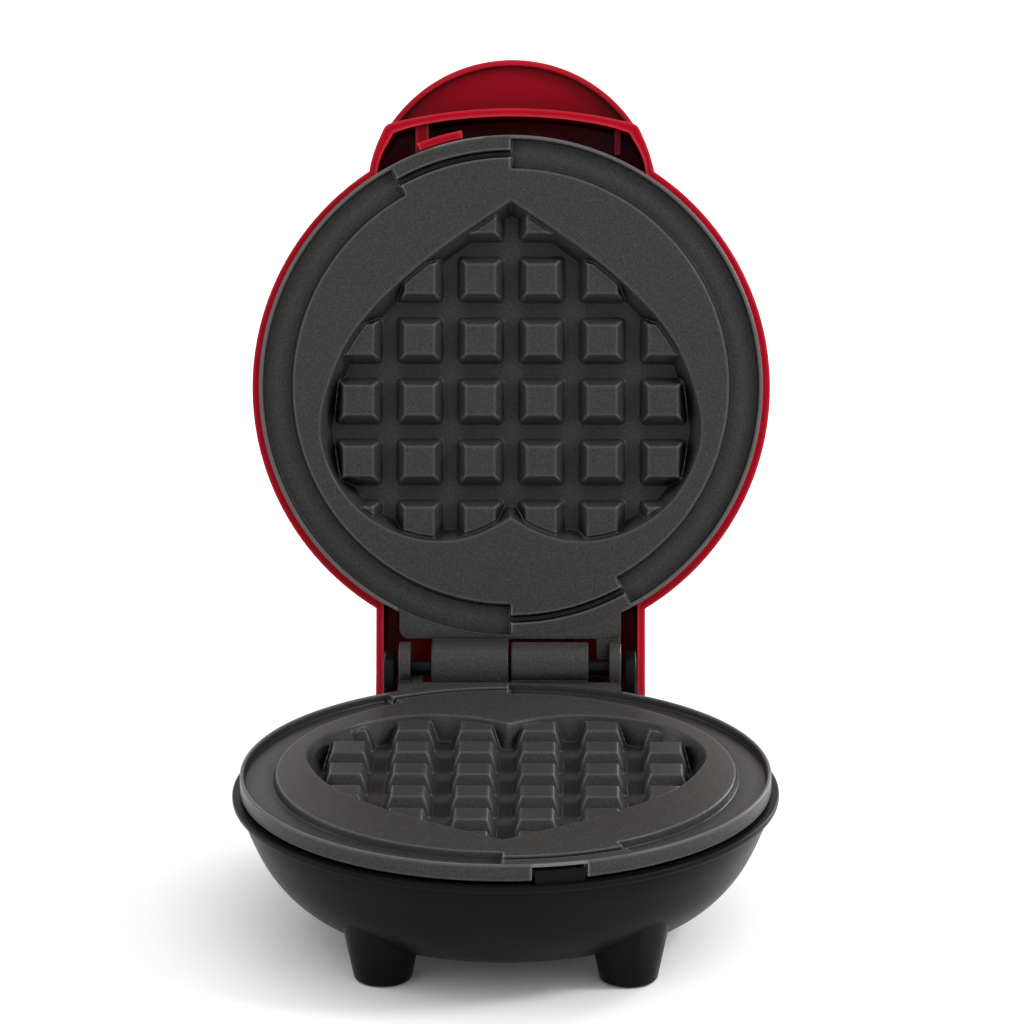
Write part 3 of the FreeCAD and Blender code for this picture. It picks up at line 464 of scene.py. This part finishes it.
def smooth_table(points, sigma, lo, hi, step=0.01):
    """A piecewise linear profile with its corners rounded, as a lookup table."""
    x = np.arange(lo, hi, step)
    y = np.interp(x, [p[0] for p in points], [p[1] for p in points])
    k = np.arange(-3 * sigma, 3 * sigma + step, step)
    w = np.exp(-0.5 * (k / sigma) ** 2)
    return x, np.convolve(np.pad(y, len(k) // 2, mode="edge"), w / w.sum(), mode="valid")[:len(x)]


WIDE = smooth_table([(0, 0), (53.55, 0), (54.3, -1.8), (60.6, -1.8), (61.1, 0), (70, 0)], 0.09, 45, 66)
KEY = smooth_table([(0, 0), (56.35, 0), (56.75, -1.8), (57.85, -1.8), (58.25, 0), (70, 0)], 0.09, 45, 66)
WALL = smooth_table([(-9, 0), (0, 0), (2.9, -6.0), (60, -6.0)], 0.20, -4, 12)
PEG = smooth_table([(-9, 0), (0, 0), (2.0, 5.0), (60, 5.0)], 0.22, -4, 12)


def heart_distance(x, y):
    """Distance inside the heart outline; negative outside."""
    px, py = np.abs(x), y
    a, b = half_heart[:-1], half_heart[1:]
    best = np.full(px.shape, 1e9)
    cross = np.zeros(px.shape, bool)
    for (ax, ay), (bx, by) in zip(a, b):
        dx, dy = bx - ax, by - ay
        t = np.clip(((px - ax) * dx + (py - ay) * dy) / (dx * dx + dy * dy), 0, 1)
        best = np.minimum(best, (px - ax - t * dx) ** 2 + (py - ay - t * dy) ** 2)
        if ay != by:
            hit = ((ay > py) != (by > py)) & (px < ax + (py - ay) * dx / dy)
            cross ^= hit
    d = np.sqrt(best)
    return np.where(cross, d, -d)


KEY_SPAN = math.radians(29.0)


def key_weight(x, y):
    """1 in the two sectors with the narrow groove, 0 elsewhere, with short steps between."""
    r = np.hypot(x, y)
    ang = np.mod(np.arctan2(x, -y), math.pi)        # from the front centre towards +x; repeats every half turn
    d = np.minimum(ang, KEY_SPAN - ang)
    d = np.where(ang > math.pi / 2 + KEY_SPAN / 2, ang - math.pi, d)
    s = np.clip(d * r / 0.30 + 0.5, 0, 1)
    return s * s * (3 - 2 * s)


def plate_height(x, y):
    r = np.hypot(x, y)
    k = key_weight(x, y)
    ring = (1 - k) * np.interp(r, *WIDE) + k * np.interp(r, *KEY)
    d = heart_distance(x, y)
    wall = np.interp(d, *WALL)
    peg = np.full(x.shape, -6.0)
    u = np.abs(np.mod(x - 7.5 + 7.5, 15.0) - 7.5)
    v = np.abs(np.mod(y + 41.5 + 7.5, 15.0) - 7.5)
    c = 1.5
    qx, qy = u - (5.8 - c), v - (5.8 - c)
    sd = np.hypot(np.maximum(qx, 0), np.maximum(qy, 0)) + np.minimum(np.maximum(qx, qy), 0) - c
    peg = -6.0 + np.interp(-sd, *PEG)
    k2 = 0.35
    h = np.clip(0.5 + 0.5 * (wall - peg) / k2, 0, 1)
    inside = peg * (1 - h) + wall * h + k2 * h * (1 - h)
    cap = np.where(d > 0.2, inside, wall)
    cap = np.where(d < 1.4, wall * np.clip((1.4 - d) / 1.2, 0, 1) + cap * np.clip((d - 0.2) / 1.2, 0, 1), cap)
    cap = np.where(d > 1.4, inside, cap)
    return np.where(r < 52.0, np.minimum(cap, 0.0), ring)


def plate_surface(n=336):
    """Cooking face, rim side and underside of the casting as one closed shell, with exact normals."""
    r_mid = 51.2
    a = np.linspace(-1, 1, n + 1)
    A, B = np.meshgrid(a, a, indexing="ij")
    X, Y = r_mid * A * np.sqrt(1 - B * B / 2), r_mid * B * np.sqrt(1 - A * A / 2)
    idx = np.arange((n + 1) ** 2).reshape(n + 1, n + 1)
    border = [idx[i, 0] for i in range(n)] + [idx[n, j] for j in range(n)] + \
        [idx[i, n] for i in range(n, 0, -1)] + [idx[0, j] for j in range(n, 0, -1)]
    x, y = X.ravel(), Y.ravel()
    faces = [np.stack([idx[:-1, :-1].ravel(), idx[1:, :-1].ravel(), idx[1:, 1:].ravel(), idx[:-1, 1:].ravel()], 1)]
    ang = np.arctan2(y[border], x[border])
    m = len(border)
    radii = [51.9, 52.5, 53.0, 53.3, 53.42, 53.52, 53.62, 53.74, 53.9, 54.06, 54.18, 54.28, 54.4, 54.55, 54.9, 55.5,
             56.0, 56.18, 56.28, 56.38, 56.48, 56.6, 56.7, 56.8, 56.95, 57.3, 57.65, 57.78, 57.88, 57.98, 58.1, 58.2,
             58.3, 58.45, 58.8, 59.4, 60.0, 60.35, 60.48, 60.58, 60.68, 60.8, 60.92, 61.04, 61.14, 61.24, 61.38, 61.55]
    xs, ys, zs = [x], [y], None
    for r in radii:
        xs.append(r * np.cos(ang))
        ys.append(r * np.sin(ang))
    tx, ty = np.concatenate(xs), np.concatenate(ys)
    tz = plate_height(tx, ty)
    e = 0.05
    gx = (plate_height(tx + e, ty) - plate_height(tx - e, ty)) / (2 * e)
    gy = (plate_height(tx, ty + e) - plate_height(tx, ty - e)) / (2 * e)
    nr = np.stack([-gx, -gy, np.ones_like(gx)], 1)
    nr /= np.linalg.norm(nr, axis=1)[:, None]
    # rim side and underside: rings of revolution below the last cooking-face ring
    side = []
    for k in range(1, 6):
        w = math.pi / 2 * k / 5
        side.append((61.55 + 0.4 * math.sin(w), -0.4 + 0.4 * math.cos(w), math.sin(w), math.cos(w)))
    side += [(61.95, z, 1, 0) for z in (-0.55, -0.66, -0.74, -0.9, -1.5, -2.2, -3.6)]
    for k in range(1, 6):
        w = math.pi / 2 * k / 5
        side.append((61.55 + 0.4 * math.cos(w), -3.6 - 0.4 * math.sin(w), math.cos(w), -math.sin(w)))
    side += [(59.0, -4.0, 0, -1), (50.0, -4.0, 0, -1)]
    vx, vy, vz, vn = [tx], [ty], [tz], [nr]
    front = np.degrees(np.arctan2(np.cos(ang), -np.sin(ang)))        # 0 at the front, + towards +x
    lo, hi = math.degrees(math.asin(7.0 / 61.95)), math.degrees(math.asin(19.2 / 61.95))
    gap = (front > lo) & (front < hi)
    for r, z, a_n, b_n in side:
        rr = np.where(gap & (z < -0.7) & (r > 60.0), 60.0, r)
        vx.append(rr * np.cos(ang))
        vy.append(rr * np.sin(ang))
        vz.append(np.full(m, z))
        vn.append(np.stack([a_n * np.cos(ang), a_n * np.sin(ang), np.full(m, float(b_n))], 1))
    # underside: the pan under the heart
    un = 90
    a = np.linspace(-1, 1, un + 1)
    VX, VY, VZ = np.concatenate(vx), np.concatenate(vy), np.concatenate(vz)
    VN = np.concatenate(vn)
    start = (n + 1) ** 2
    rings = [np.array(border)] + [start + m * i + np.arange(m) for i in range(len(radii) + len(side))]
    for p, q in zip(rings[:-1], rings[1:]):
        faces.append(np.stack([p, q, np.roll(q, -1), np.roll(p, -1)], 1))
    # close below with shrinking rings that follow the pan
    last = rings[-1]
    base = len(VX)
    ex, ey, ez = [], [], []
    steps = [48, 46, 44, 42, 40, 37, 34, 30, 25, 20, 14, 8, 3]
    for r in steps:
        qx, qy = r * np.cos(ang), r * np.sin(ang)
        d = heart_distance(qx, qy) + 2.6
        ex.append(qx)
        ey.append(qy)
        ez.append(-4.0 - np.clip(d / 2.0, 0, 1) * 4.4)
    ex.append(np.array([0.0]))
    ey.append(np.array([0.0]))
    ez.append(np.array([-8.4]))
    VX, VY, VZ = np.concatenate([VX] + ex), np.concatenate([VY] + ey), np.concatenate([VZ] + ez)
    VN = np.vstack([VN, np.zeros((len(VX) - base, 3))])
    prev = last
    for i in range(len(steps)):
        cur = base + m * i + np.arange(m)
        faces.append(np.stack([prev, cur, np.roll(cur, -1), np.roll(prev, -1)], 1))
        prev = cur
    centre = len(VX) - 1
    tri = [(int(p), centre, int(q)) for p, q in zip(prev, np.roll(prev, -1))]
    quads = [tuple(map(int, f)) for f in np.concatenate(faces)]
    return np.stack([VX, VY, VZ], 1), quads + tri, VN


plate_v, plate_f, plate_n = plate_surface()


def plate_body(name):
    me = bpy.data.meshes.new(name)
    me.from_pydata(plate_v.tolist(), [], plate_f)
    me.shade_smooth()
    ob = bpy.data.objects.new(name, me)
    bpy.context.scene.collection.objects.link(ob)
    return ob


# hinge lug with its barrel and end ear, drawn beside the plate and joined to it
def lug_parts(tag):
    arc = [(x, math.sqrt(61.35 ** 2 - x * x)) for x in np.linspace(-27.2, 27.2, 49)]
    back = fillet([(27.2, arc[-1][1]), (27.2, 62.1), (-27.2, 62.1), (-27.2, arc[0][1])], [0, 2.4, 0.9, 0], 6, closed=False)
    out = [make(tag + "lug", *prism(arc[:-1] + back[:-1], -3.98, -0.02, 0.3, 0.02, 2))]
    web = [(61.5, -3.96), (HY - 5.6, -3.96), (HY - 2.0, -5.0), (HY, -3.0), (HY, 4.0), (HY - 6.0, 1.6), (HY - 6.4, -0.03),
           (61.5, -0.03)]
    web = fillet(web, [0, 0.8, 1.2, 0, 0, 0, 0.6, 0], 4)
    for x0, x1 in ((0.35, 19.2), (-27.2, -24.3)):
        out.append(make(tag + "web", *prism(web, x0 + 0.12, x1 - 0.12, 0.3, 0.3), matrix=YZ))
        prof = fillet([(0, x0), (6.5, x0), (6.5, x1), (0, x1)], [0, 0.45, 0.45, 0], 5)
        out.append(make(tag + "barrel", *revolve(prof, 128),
                        matrix=T((0, HY, 1.0)) @ R(math.pi / 2, 4, "Y")))
    step = fillet([(-24.6, HY - 8.0), (-21.1, HY - 8.0), (-21.1, HY - 2.0), (-24.6, HY - 2.0)], 0.5, 3)
    out.append(make(tag + "step", *prism(step, -3.96, -0.04, 0.3, 0.3)))
    tongue = fillet([(0.35, 61.6), (19.2, 61.6), (19.2, 63.5), (0.35, 63.5)], 0.3, 2)
    out.append(make(tag + "tab", *prism(tongue, -3.96, -0.05, 0.3, 0.3)))
    return out


def finish_plate(name, matrix, body, node):
    ob = join(name, plate_body(name + "_disc"), *lug_parts(name))
    me = ob.data
    me.materials.append(MAT_PLATE)
    me.transform(matrix)
    if matrix.to_3x3().determinant() < 0:
        me.flip_normals()
    shade(me, 38.0)
    rot = np.array(matrix.to_3x3().normalized())
    normals = np.zeros((len(me.vertices), 3))
    normals[:len(plate_n)] = plate_n @ rot.T
    me.normals_split_custom_set_from_vertices([tuple(v) for v in normals])
    # mask for the painted edge highlight: 1 on the face, rim and underside of the casting, 0 on the rim beside the
    # hinge lug and on the lug parts
    highlight_mask = np.zeros(len(me.vertices))
    by_lug = (plate_v[:, 1] > 0) & (np.abs(plate_v[:, 0]) < 27.7) & (np.hypot(plate_v[:, 0], plate_v[:, 1]) > 60.6)
    highlight_mask[:len(plate_v)] = np.where(by_lug, 0.0, 1.0)
    me.attributes.new("highlight_mask", "FLOAT", "POINT").data.foreach_set("value", highlight_mask)
    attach(ob, body)
    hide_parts(node)
    return ob


LIFT = T((0, 0, RIM_Z))
lower_plate = finish_plate("lower_plate_casting", BASE @ LIFT, "base", "lower_plate")
upper_plate = finish_plate("upper_plate_casting", LID @ FLIP @ LIFT, "lid", "upper_plate")


# ------------------------------------------------------------------ base housing
def solid(name, vf, matrix=None):
    ob = make(name, *vf, matrix=matrix)
    import bmesh
    bm = bmesh.new()
    bm.from_mesh(ob.data)
    bmesh.ops.recalc_face_normals(bm, faces=bm.faces)
    bm.to_mesh(ob.data)
    bm.free()
    return ob


def rod(name, r, z0, z1, x, y, n=64, edge=0.0):
    prof = fillet([(0, z0), (r, z0), (r, z1), (0, z1)], [0, edge, edge, 0], 4) if edge else \
        [(0, z0), (r, z0), (r, z1), (0, z1)]
    return solid(name, revolve(prof, n), T((x, y, 0)))


def slab(name, x0, x1, y0, y1, z0, z1, edge=0.3, corner=0.4):
    return solid(name, prism(fillet([(x0, y0), (x1, y0), (x1, y1), (x0, y1)], corner, 4), z0, z1, edge, edge))


outer = spline([(61.75, 30.2), (61.0, 27.4), (59.9, 24.5), (58.5, 21.3), (56.75, 18.0), (54.6, 14.9), (51.7, 11.7),
                (48.0, 8.85), (43.6, 7.0), (38.4, 6.2), (33.0, 5.95), (28.0, 5.9)], 90)[::-1]
inner = spline([(59.6, 28.6), (58.6, 26.0), (57.2, 22.8), (55.4, 19.6), (53.0, 16.6), (49.8, 13.8), (45.6, 11.4),
                (40.0, 9.7), (34.0, 9.0), (28.0, 8.9)], 40)
lip = fillet([(61.75, 30.8), (63.8, 31.45), (63.8, 32.9), (60.8, 32.9), (60.8, 30.2)], [0.25, 0.5, 0.5, 0.3, 0.3], 5,
             closed=False)
bowl_profile = [(0, 5.9), (14, 5.9)] + [tuple(p) for p in outer] + lip + [tuple(p) for p in inner] + [(14, 8.9), (0, 8.9)]
bowl = solid("bowl", revolve(bowl_profile, 384))
block_line = fillet([(38, 9), (70.5, 9), (70.5, 31), (38, 31)], [0, 6, 1.2, 0], 10)
block = solid("block", prism(resample(block_line, 3.0), -30.9, 30.9, 1.0, 1.0), YZ)
shell_parts = [block]
cheek_line = fillet([(58.5, 27), (69.9, 27), (69.9, 29), (73.0, 32.0), (75.4, 36), (75.4, 42), (63.4, 42), (63.4, 30)],
                    [0, 0, 1.0, 2.0, 2.0, 5.99, 5.99, 0], 12)
for x0, x1 in ((28.2, 30.9), (-30.9, -28.2)):
    shell_parts.append(solid("cheek", prism(cheek_line, x0, x1, 0.45, 0.45), YZ))
bowl_solid = solid("bowl_solid", revolve([(0, 6.4)] + [(max(x - 0.4, 1.0), z + 0.4) for x, z in outer] + [(61.0, 40.0), (0, 40.0)], 192))
posts = [rod("post", 5.0, 7.0, 26.0, 45.5 * math.cos(math.radians(d)), 45.5 * math.sin(math.radians(d)))
         for d in (90, 210, 330)]
shell_parts.append(combine("INTERSECT", "posts", join("posts", *posts), bowl_solid))
LEGS = [(28.6, -36.0), (-27.6, -36.0), (23.5, 58.0), (-23.5, 58.0)]
leg_line = fillet([(0, 0.25), (6.6, 0.25), (10.1, 17.6), (0, 17.6)], [0, 0.8, 0, 0], 8)
hollow = [(0, 8.9), (14, 8.9)] + [tuple(p) for p in inner[::-1]] + [(59.6, 40.0), (0, 40.0)]
for x, y in LEGS:
    leg = solid("leg", revolve(leg_line, 96), T((x, y, 0)))
    room = solid("room", revolve(hollow, 192))
    leg = combine("DIFFERENCE", "leg", leg, room)
    if y > 0:
        leg = combine("DIFFERENCE", "leg", leg, slab("room", -28.7, 28.7, 20.0, 68.3, 11.2, 28.8, 0.0, 0.0))
    shell_parts.append(leg)
f0 = -math.pi / 2
tab = fillet([(60.5, 31.0), (62.25, 31.0), (62.25, 36.1), (60.5, 36.1)], [0, 0, 0.6, 0.3], 5)
shell_parts.append(solid("tab", revolve(tab, 24, f0 + math.asin(7.5 / 62.2), f0 + math.asin(18.7 / 62.2))))
housing = combine("UNION", "housing", bowl, *shell_parts)
wells = []
for deg in (90, 210, 330):
    a = math.radians(deg)
    wells.append(rod("well", 3.2, -1, 13.4, 45.5 * math.cos(a), 45.5 * math.sin(a)))
for x, y in LEGS:
    wells.append(rod("pad_well", 4.4, -1, 2.3, x, y))
wells.append(solid("gland_hole", revolve([(0, 0), (5.15, 0), (5.15, 8), (0, 8)], 64),
                   T((13, 66, 19.5)) @ R(-math.pi / 2, 4, "X")))
wells.append(slab("lead_port", 20.6, 24.0, 60.0, 68.0, 27.0, 33.0, 0.0, 0.6))
housing = combine("DIFFERENCE", "base_housing_shell", housing, *wells)
place(housing, BASE, MAT_BASE, "base", "housing_plastic", "base_housing", angle=30.0)

# ------------------------------------------------------------------ lid cover
dome = spline([(63.95, 46.9), (63.65, 49.6), (62.8, 53.0), (61.3, 56.5), (58.7, 59.9), (54.6, 63.1), (48.8, 65.8),
               (40.2, 68.0), (28.1, 69.6), (14.0, 70.35), (0.0, 70.5)], 110)
dome_line = [(0, 44.6)] + fillet([(58, 44.6), (63.95, 44.6), (63.95, 46.9)], [0, 0.7, 0], 6, closed=False) + \
    [tuple(p) for p in dome[1:-1]] + [(0, 70.5)]
dome_out = solid("dome_out", revolve(dome_line, 384))
dome2 = spline([(61.6, 48.0), (61.1, 51.4), (60.0, 54.6), (58.0, 57.8), (54.6, 60.9), (49.0, 63.5), (40.0, 65.8),
                (27.6, 67.4), (13.8, 68.15), (0.0, 68.3)], 50)
dome_in = solid("dome_in", revolve([(0, 43.6), (61.6, 43.6)] + [tuple(p) for p in dome2[:-1]] + [(0, 68.3)], 192))
hood_line = fillet([(40, 44.6), (79, 44.6), (79, 60), (40, 60)], [0, 0.5, 7.5, 0], 10)
hood_out = solid("hood_out", prism(resample(hood_line, 3.0), -33.2, 33.2, 1.1, 1.1, 4), YZ)
hood_line = fillet([(38, 43), (77.1, 43), (77.1, 58.1), (38, 58.1)], [0, 0, 6.0, 0], 8)
hood_in = solid("hood_in", prism(hood_line, -31.3, 31.3, 0.5, 0.5, 2), YZ)


def skirt(inset, corner):
    """Outline of the front skirt, following the tongue's circle just inside it."""
    side = [(35.6, -49.0), (35.25, -53.0), (34.85, -55.3), (34.2, -57.7), (33.3, -60.2), (32.4, -62.2)]
    arc = [(x, -69.0 + (x / 29.5) ** 2 * 3.6) for x in np.linspace(29.0, -29.0, 33)]
    pts = side + [(31.2, -64.9)] + arc + [(-31.2, -64.9)] + [(-x, y) for x, y in side[::-1]]
    pts = [(x - math.copysign(inset, x) * min(1.0, abs(x) / 30.0) ** 6, y + inset * min(1.0, max(0.0, (-y - 56.0) / 8.0)))
           for x, y in pts]
    return fillet(pts, [0] * 6 + [corner] + [0] * 33 + [corner] + [0] * 6, 8)


skirt_out = solid("skirt_out", prism(skirt(0.0, 2.4), 44.6, 60.5, 0.45, 1.5, 5))
skirt_in = solid("skirt_in", prism(skirt(2.0, 1.6), 43.6, 58.9, 0.0, 0.6, 2))
ring = [(36.65 * math.cos(a), -45.5 + 36.65 * math.sin(a)) for a in np.linspace(0, 2 * math.pi, 256, endpoint=False)]
tongue = solid("tongue", prism(ring, 57.5, 60.5, 0.3, 1.1, 4))
bead = fillet([(35.1, 55.3), (36.65, 55.3), (36.65, 59.4), (35.1, 59.4)], [0.55, 0.7, 0, 0], 5)
bead = solid("bead", revolve(bead, 256, math.radians(180 + 32.5), math.radians(360 - 32.5)), T((0, -45.5, 0)))
lid = combine("UNION", "lid", dome_out, hood_out, skirt_out, tongue, bead)
lid = combine("DIFFERENCE", "lid", lid, dome_in, hood_in, skirt_in)


def at_front(x, r):
    return -math.pi / 2 + math.asin(x / r)


wall = fillet([(60.4, 48.2), (62.3, 48.2), (62.3, 59.4), (60.4, 59.4)], [0.3, 0.4, 0, 0], 4)
parts = [solid("inner_wall", revolve(wall, 48, at_front(-12.0, 61.4), at_front(26.0, 61.4)))]
parts.append(slab("rib", 25.4, 27.0, -66.6, -58.0, 51.0, 59.4, 0.3, 0.3))
parts.append(slab("rib", -23.9, -20.5, -66.8, -58.0, 46.6, 59.4, 0.4, 0.5))
hook = fillet([(62.3, 41.4), (64.4, 41.4), (64.4, 59.4), (62.3, 59.4)], [0.4, 0.5, 0, 0], 4)
parts.append(solid("hook", revolve(hook, 24, at_front(-22.9, 63.3), at_front(-12.1, 63.3))))
parts.append(rod("lens_seat", 6.0, 65.4, 69.2, 0.0, -30.0))
lid = combine("UNION", "lid", lid, *parts)
lid = combine("DIFFERENCE", "lid_cover_shell", lid, rod("lens_hole", 3.5, 60.0, 75.0, 0.0, -30.0))
place(lid, LID, MAT_RED, "lid", "lid_red", "lid_cover", angle=30.0)

# ------------------------------------------------------------------ small parts seen from outside
lens_line = [(0, 64.2), (4.55, 64.2), (4.55, 65.35), (3.4, 65.35)] + \
    [(3.4 * math.cos(a), 69.7 + 0.75 * math.sin(a)) for a in np.linspace(0, math.pi / 2, 10)][:-1] + [(0, 70.45)]
lens = solid("indicator_lens_domed", revolve(lens_line, 64), T((0, -30, 0)))
place(lens, LID, MAT_LENS, "lid", "lens_amber", "indicator_lens")
gland_line = fillet([(3.1, 0), (6.0, 0), (6.0, 1.5), (5.1, 1.5), (5.1, 3.75), (6.4, 3.75), (6.4, 4.9), (5.6, 5.3),
                     (5.35, 7.0), (5.1, 9.0), (3.1, 9.0)],
                    [0.3, 0.3, 0.3, 0, 0, 0.3, 0.4, 0.3, 0, 0.5, 0.5], 4)
gland = solid("cord_gland_grommet", revolve(gland_line, 96), T((13, 70.5 - 2.2 - 1.52, 19.5)) @ R(-math.pi / 2, 4, "X"))
place(gland, BASE, MAT_RUBBER, "base", "gland_rubber", "cord_gland")
pads = [solid("pad", revolve(fillet([(0, 0), (4.3, 0), (4.3, 1.8), (0, 1.8)], [0, 0.4, 0.2, 0], 4), 72),
              T((x, y, 0))) for x, y in LEGS]
place(join("foot_pad_set", *pads), BASE, MAT_RUBBER, "base", "pad_rubber", "foot_pads")
pin = solid("hinge_pin_rod", revolve(fillet([(0, -27.9), (2.0, -27.9), (2.0, 27.9), (0, 27.9)], [0, 0.5, 0.5, 0], 4), 64),
            T((0, HY, HZ)) @ R(math.pi / 2, 4, "Y"))
place(pin, BASE, MAT_PIN, "base", "pin_steel", "hinge_pin")


def cross_head(name, x, y, z_head, head, high, shank, length):
    """Pan-head screw with a cross recess, head down."""
    line = fillet([(0, z_head - high), (head - 0.5, z_head - high), (head, z_head - high * 0.45), (head, z_head),
                   (shank, z_head), (shank, z_head + length - 0.8), (shank * 0.5, z_head + length), (0, z_head + length)],
                  [0, 0.8, 0.4, 0.15, 0, 0, 0, 0], 4)
    ob = solid(name, revolve(line, 64))
    for a in (0.0, math.pi / 2):
        bar = solid("bar", prism([(-head * 0.55, -0.35), (head * 0.55, -0.35), (head * 0.55, 0.35), (-head * 0.55, 0.35)],
                                 z_head - high - 0.5, z_head - high * 0.35, 0, 0), R(a + 0.4, 4, "Z"))
        ob = combine("DIFFERENCE", name, ob, bar)
    ob.data.transform(T((x, y, 0)))
    return ob


heads = [cross_head("head", 45.5 * math.cos(math.radians(d)), 45.5 * math.sin(math.radians(d)), 13.4, 2.8, 2.2, 1.45,
                    17.5) for d in (90, 210, 330)]
place(join("base_screw_set", *heads), BASE, MAT_SCREW, "base", "screw_steel", "base_screws")


# ------------------------------------------------------------------ CAD nodes kept as they are
KEEP = {
    "foot_pads": MAT_RUBBER, "lower_heating_element": MAT_ELEMENT, "upper_heating_element": MAT_ELEMENT,
    "lower_heat_shield": MAT_SHEET, "upper_heat_shield": MAT_SHEET, "lower_inner_screws": MAT_SCREW,
    "upper_inner_screws": MAT_SCREW, "control_thermostat": MAT_CAN, "thermostat_strap": MAT_SHEET,
    "thermal_fuse": MAT_CAN, "base_screws": MAT_SCREW, "cord_gland": MAT_RUBBER, "wire_connectors": MAT_CERAMIC,
    "base_wiring": MAT_WIRE, "lid_wiring": MAT_WIRE, "hinge_pin": MAT_PIN, "indicator_lamp": MAT_LAMP,
    "lamp_sleeve": MAT_WIRE, "indicator_lens": MAT_LENS, "base_housing": MAT_BASE, "lid_cover": MAT_RED,
}
for node, mat in KEEP.items():
    ob = frame["nodes"][node]
    if ob.hide_render:
        continue
    ob.data.materials.clear()
    ob.data.materials.append(mat)


# ------------------------------------------------------------------ floor, light, camera
def stage_scene():
    sc = bpy.context.scene
    floor_v, floor_f = [], []
    n = 24
    for i in range(n + 1):
        for j in range(n + 1):
            floor_v.append((-6 + 12 * i / n, -6 + 12 * j / n, 0.0))
    for i in range(n):
        for j in range(n):
            a = i * (n + 1) + j
            floor_f.append((a, a + n + 1, a + n + 2, a + 1))
    floor = make("floor", floor_v, floor_f)
    m = Mat("floor_paint", Specular_IOR_Level=0.2)
    m.link(m.ramp(m.noise(3, 2.0), [(0.3, (0.93, 0.93, 0.93)), (0.7, (0.95, 0.95, 0.95))]), "Base Color")
    m.link(m.span(m.noise(20, 2.0), 0.7, 0.8), "Roughness")
    floor.data.materials.append(m.m)
    world = bpy.data.worlds.new("studio")
    sc.world = world
    world.use_nodes = True
    bg = world.node_tree.nodes["Background"]
    bg.inputs["Color"].default_value = (1, 1, 1, 1)
    bg.inputs["Strength"].default_value = 0.96

    def area(name, pos, target, size, power, size_y=None):
        data = bpy.data.lights.new(name, "AREA")
        data.shape = "RECTANGLE"
        data.size, data.size_y = size, size_y or size
        data.energy = power
        ob = bpy.data.objects.new(name, data)
        sc.collection.objects.link(ob)
        ob.location = pos
        d = Vector(pos) - Vector(target)
        ob.rotation_mode = "QUATERNION"
        ob.rotation_quaternion = d.to_track_quat("Z", "Y")
        return ob

    aim = (0, 0, 0.08)
    area("key", (0.75, -0.2, 0.7), aim, 0.24, 4.6)
    area("left", (-0.9, 0.1, 0.45), aim, 0.30, 1.0)
    area("rim", (0.62, 0.65, 0.32), aim, 0.35, 4.5)
    area("top", (0.0, 0.0, 2.2), aim, 3.0, 16.0)
    sc.view_settings.view_transform = "Standard"
    cam = bpy.data.cameras.new("camera")
    cam.sensor_width, cam.lens = 36.0, 5397.7 / 1024 * 36.0
    cam.clip_start, cam.clip_end = 0.05, 30
    ob = bpy.data.objects.new("camera", cam)
    sc.collection.objects.link(ob)
    el, yaw, roll, dist = math.radians(17.34), math.radians(0.896), math.radians(-0.171), 1.240
    back = Vector((math.sin(yaw) * math.cos(el), -math.cos(yaw) * math.cos(el), math.sin(el)))
    right = Vector((0, 0, 1)).cross(back).normalized()
    up = back.cross(right)
    r2 = right * math.cos(roll) + up * math.sin(roll)
    u2 = up * math.cos(roll) - right * math.sin(roll)
    pos = Vector((0.00167, SHIFT * 0.001, 0.1005)) + back * dist
    m4 = Matrix.Identity(4)
    for i in range(3):
        m4[i][0], m4[i][1], m4[i][2], m4[i][3] = r2[i], u2[i], back[i], pos[i]
    ob.matrix_world = m4
    sc.camera = ob


stage_scene()
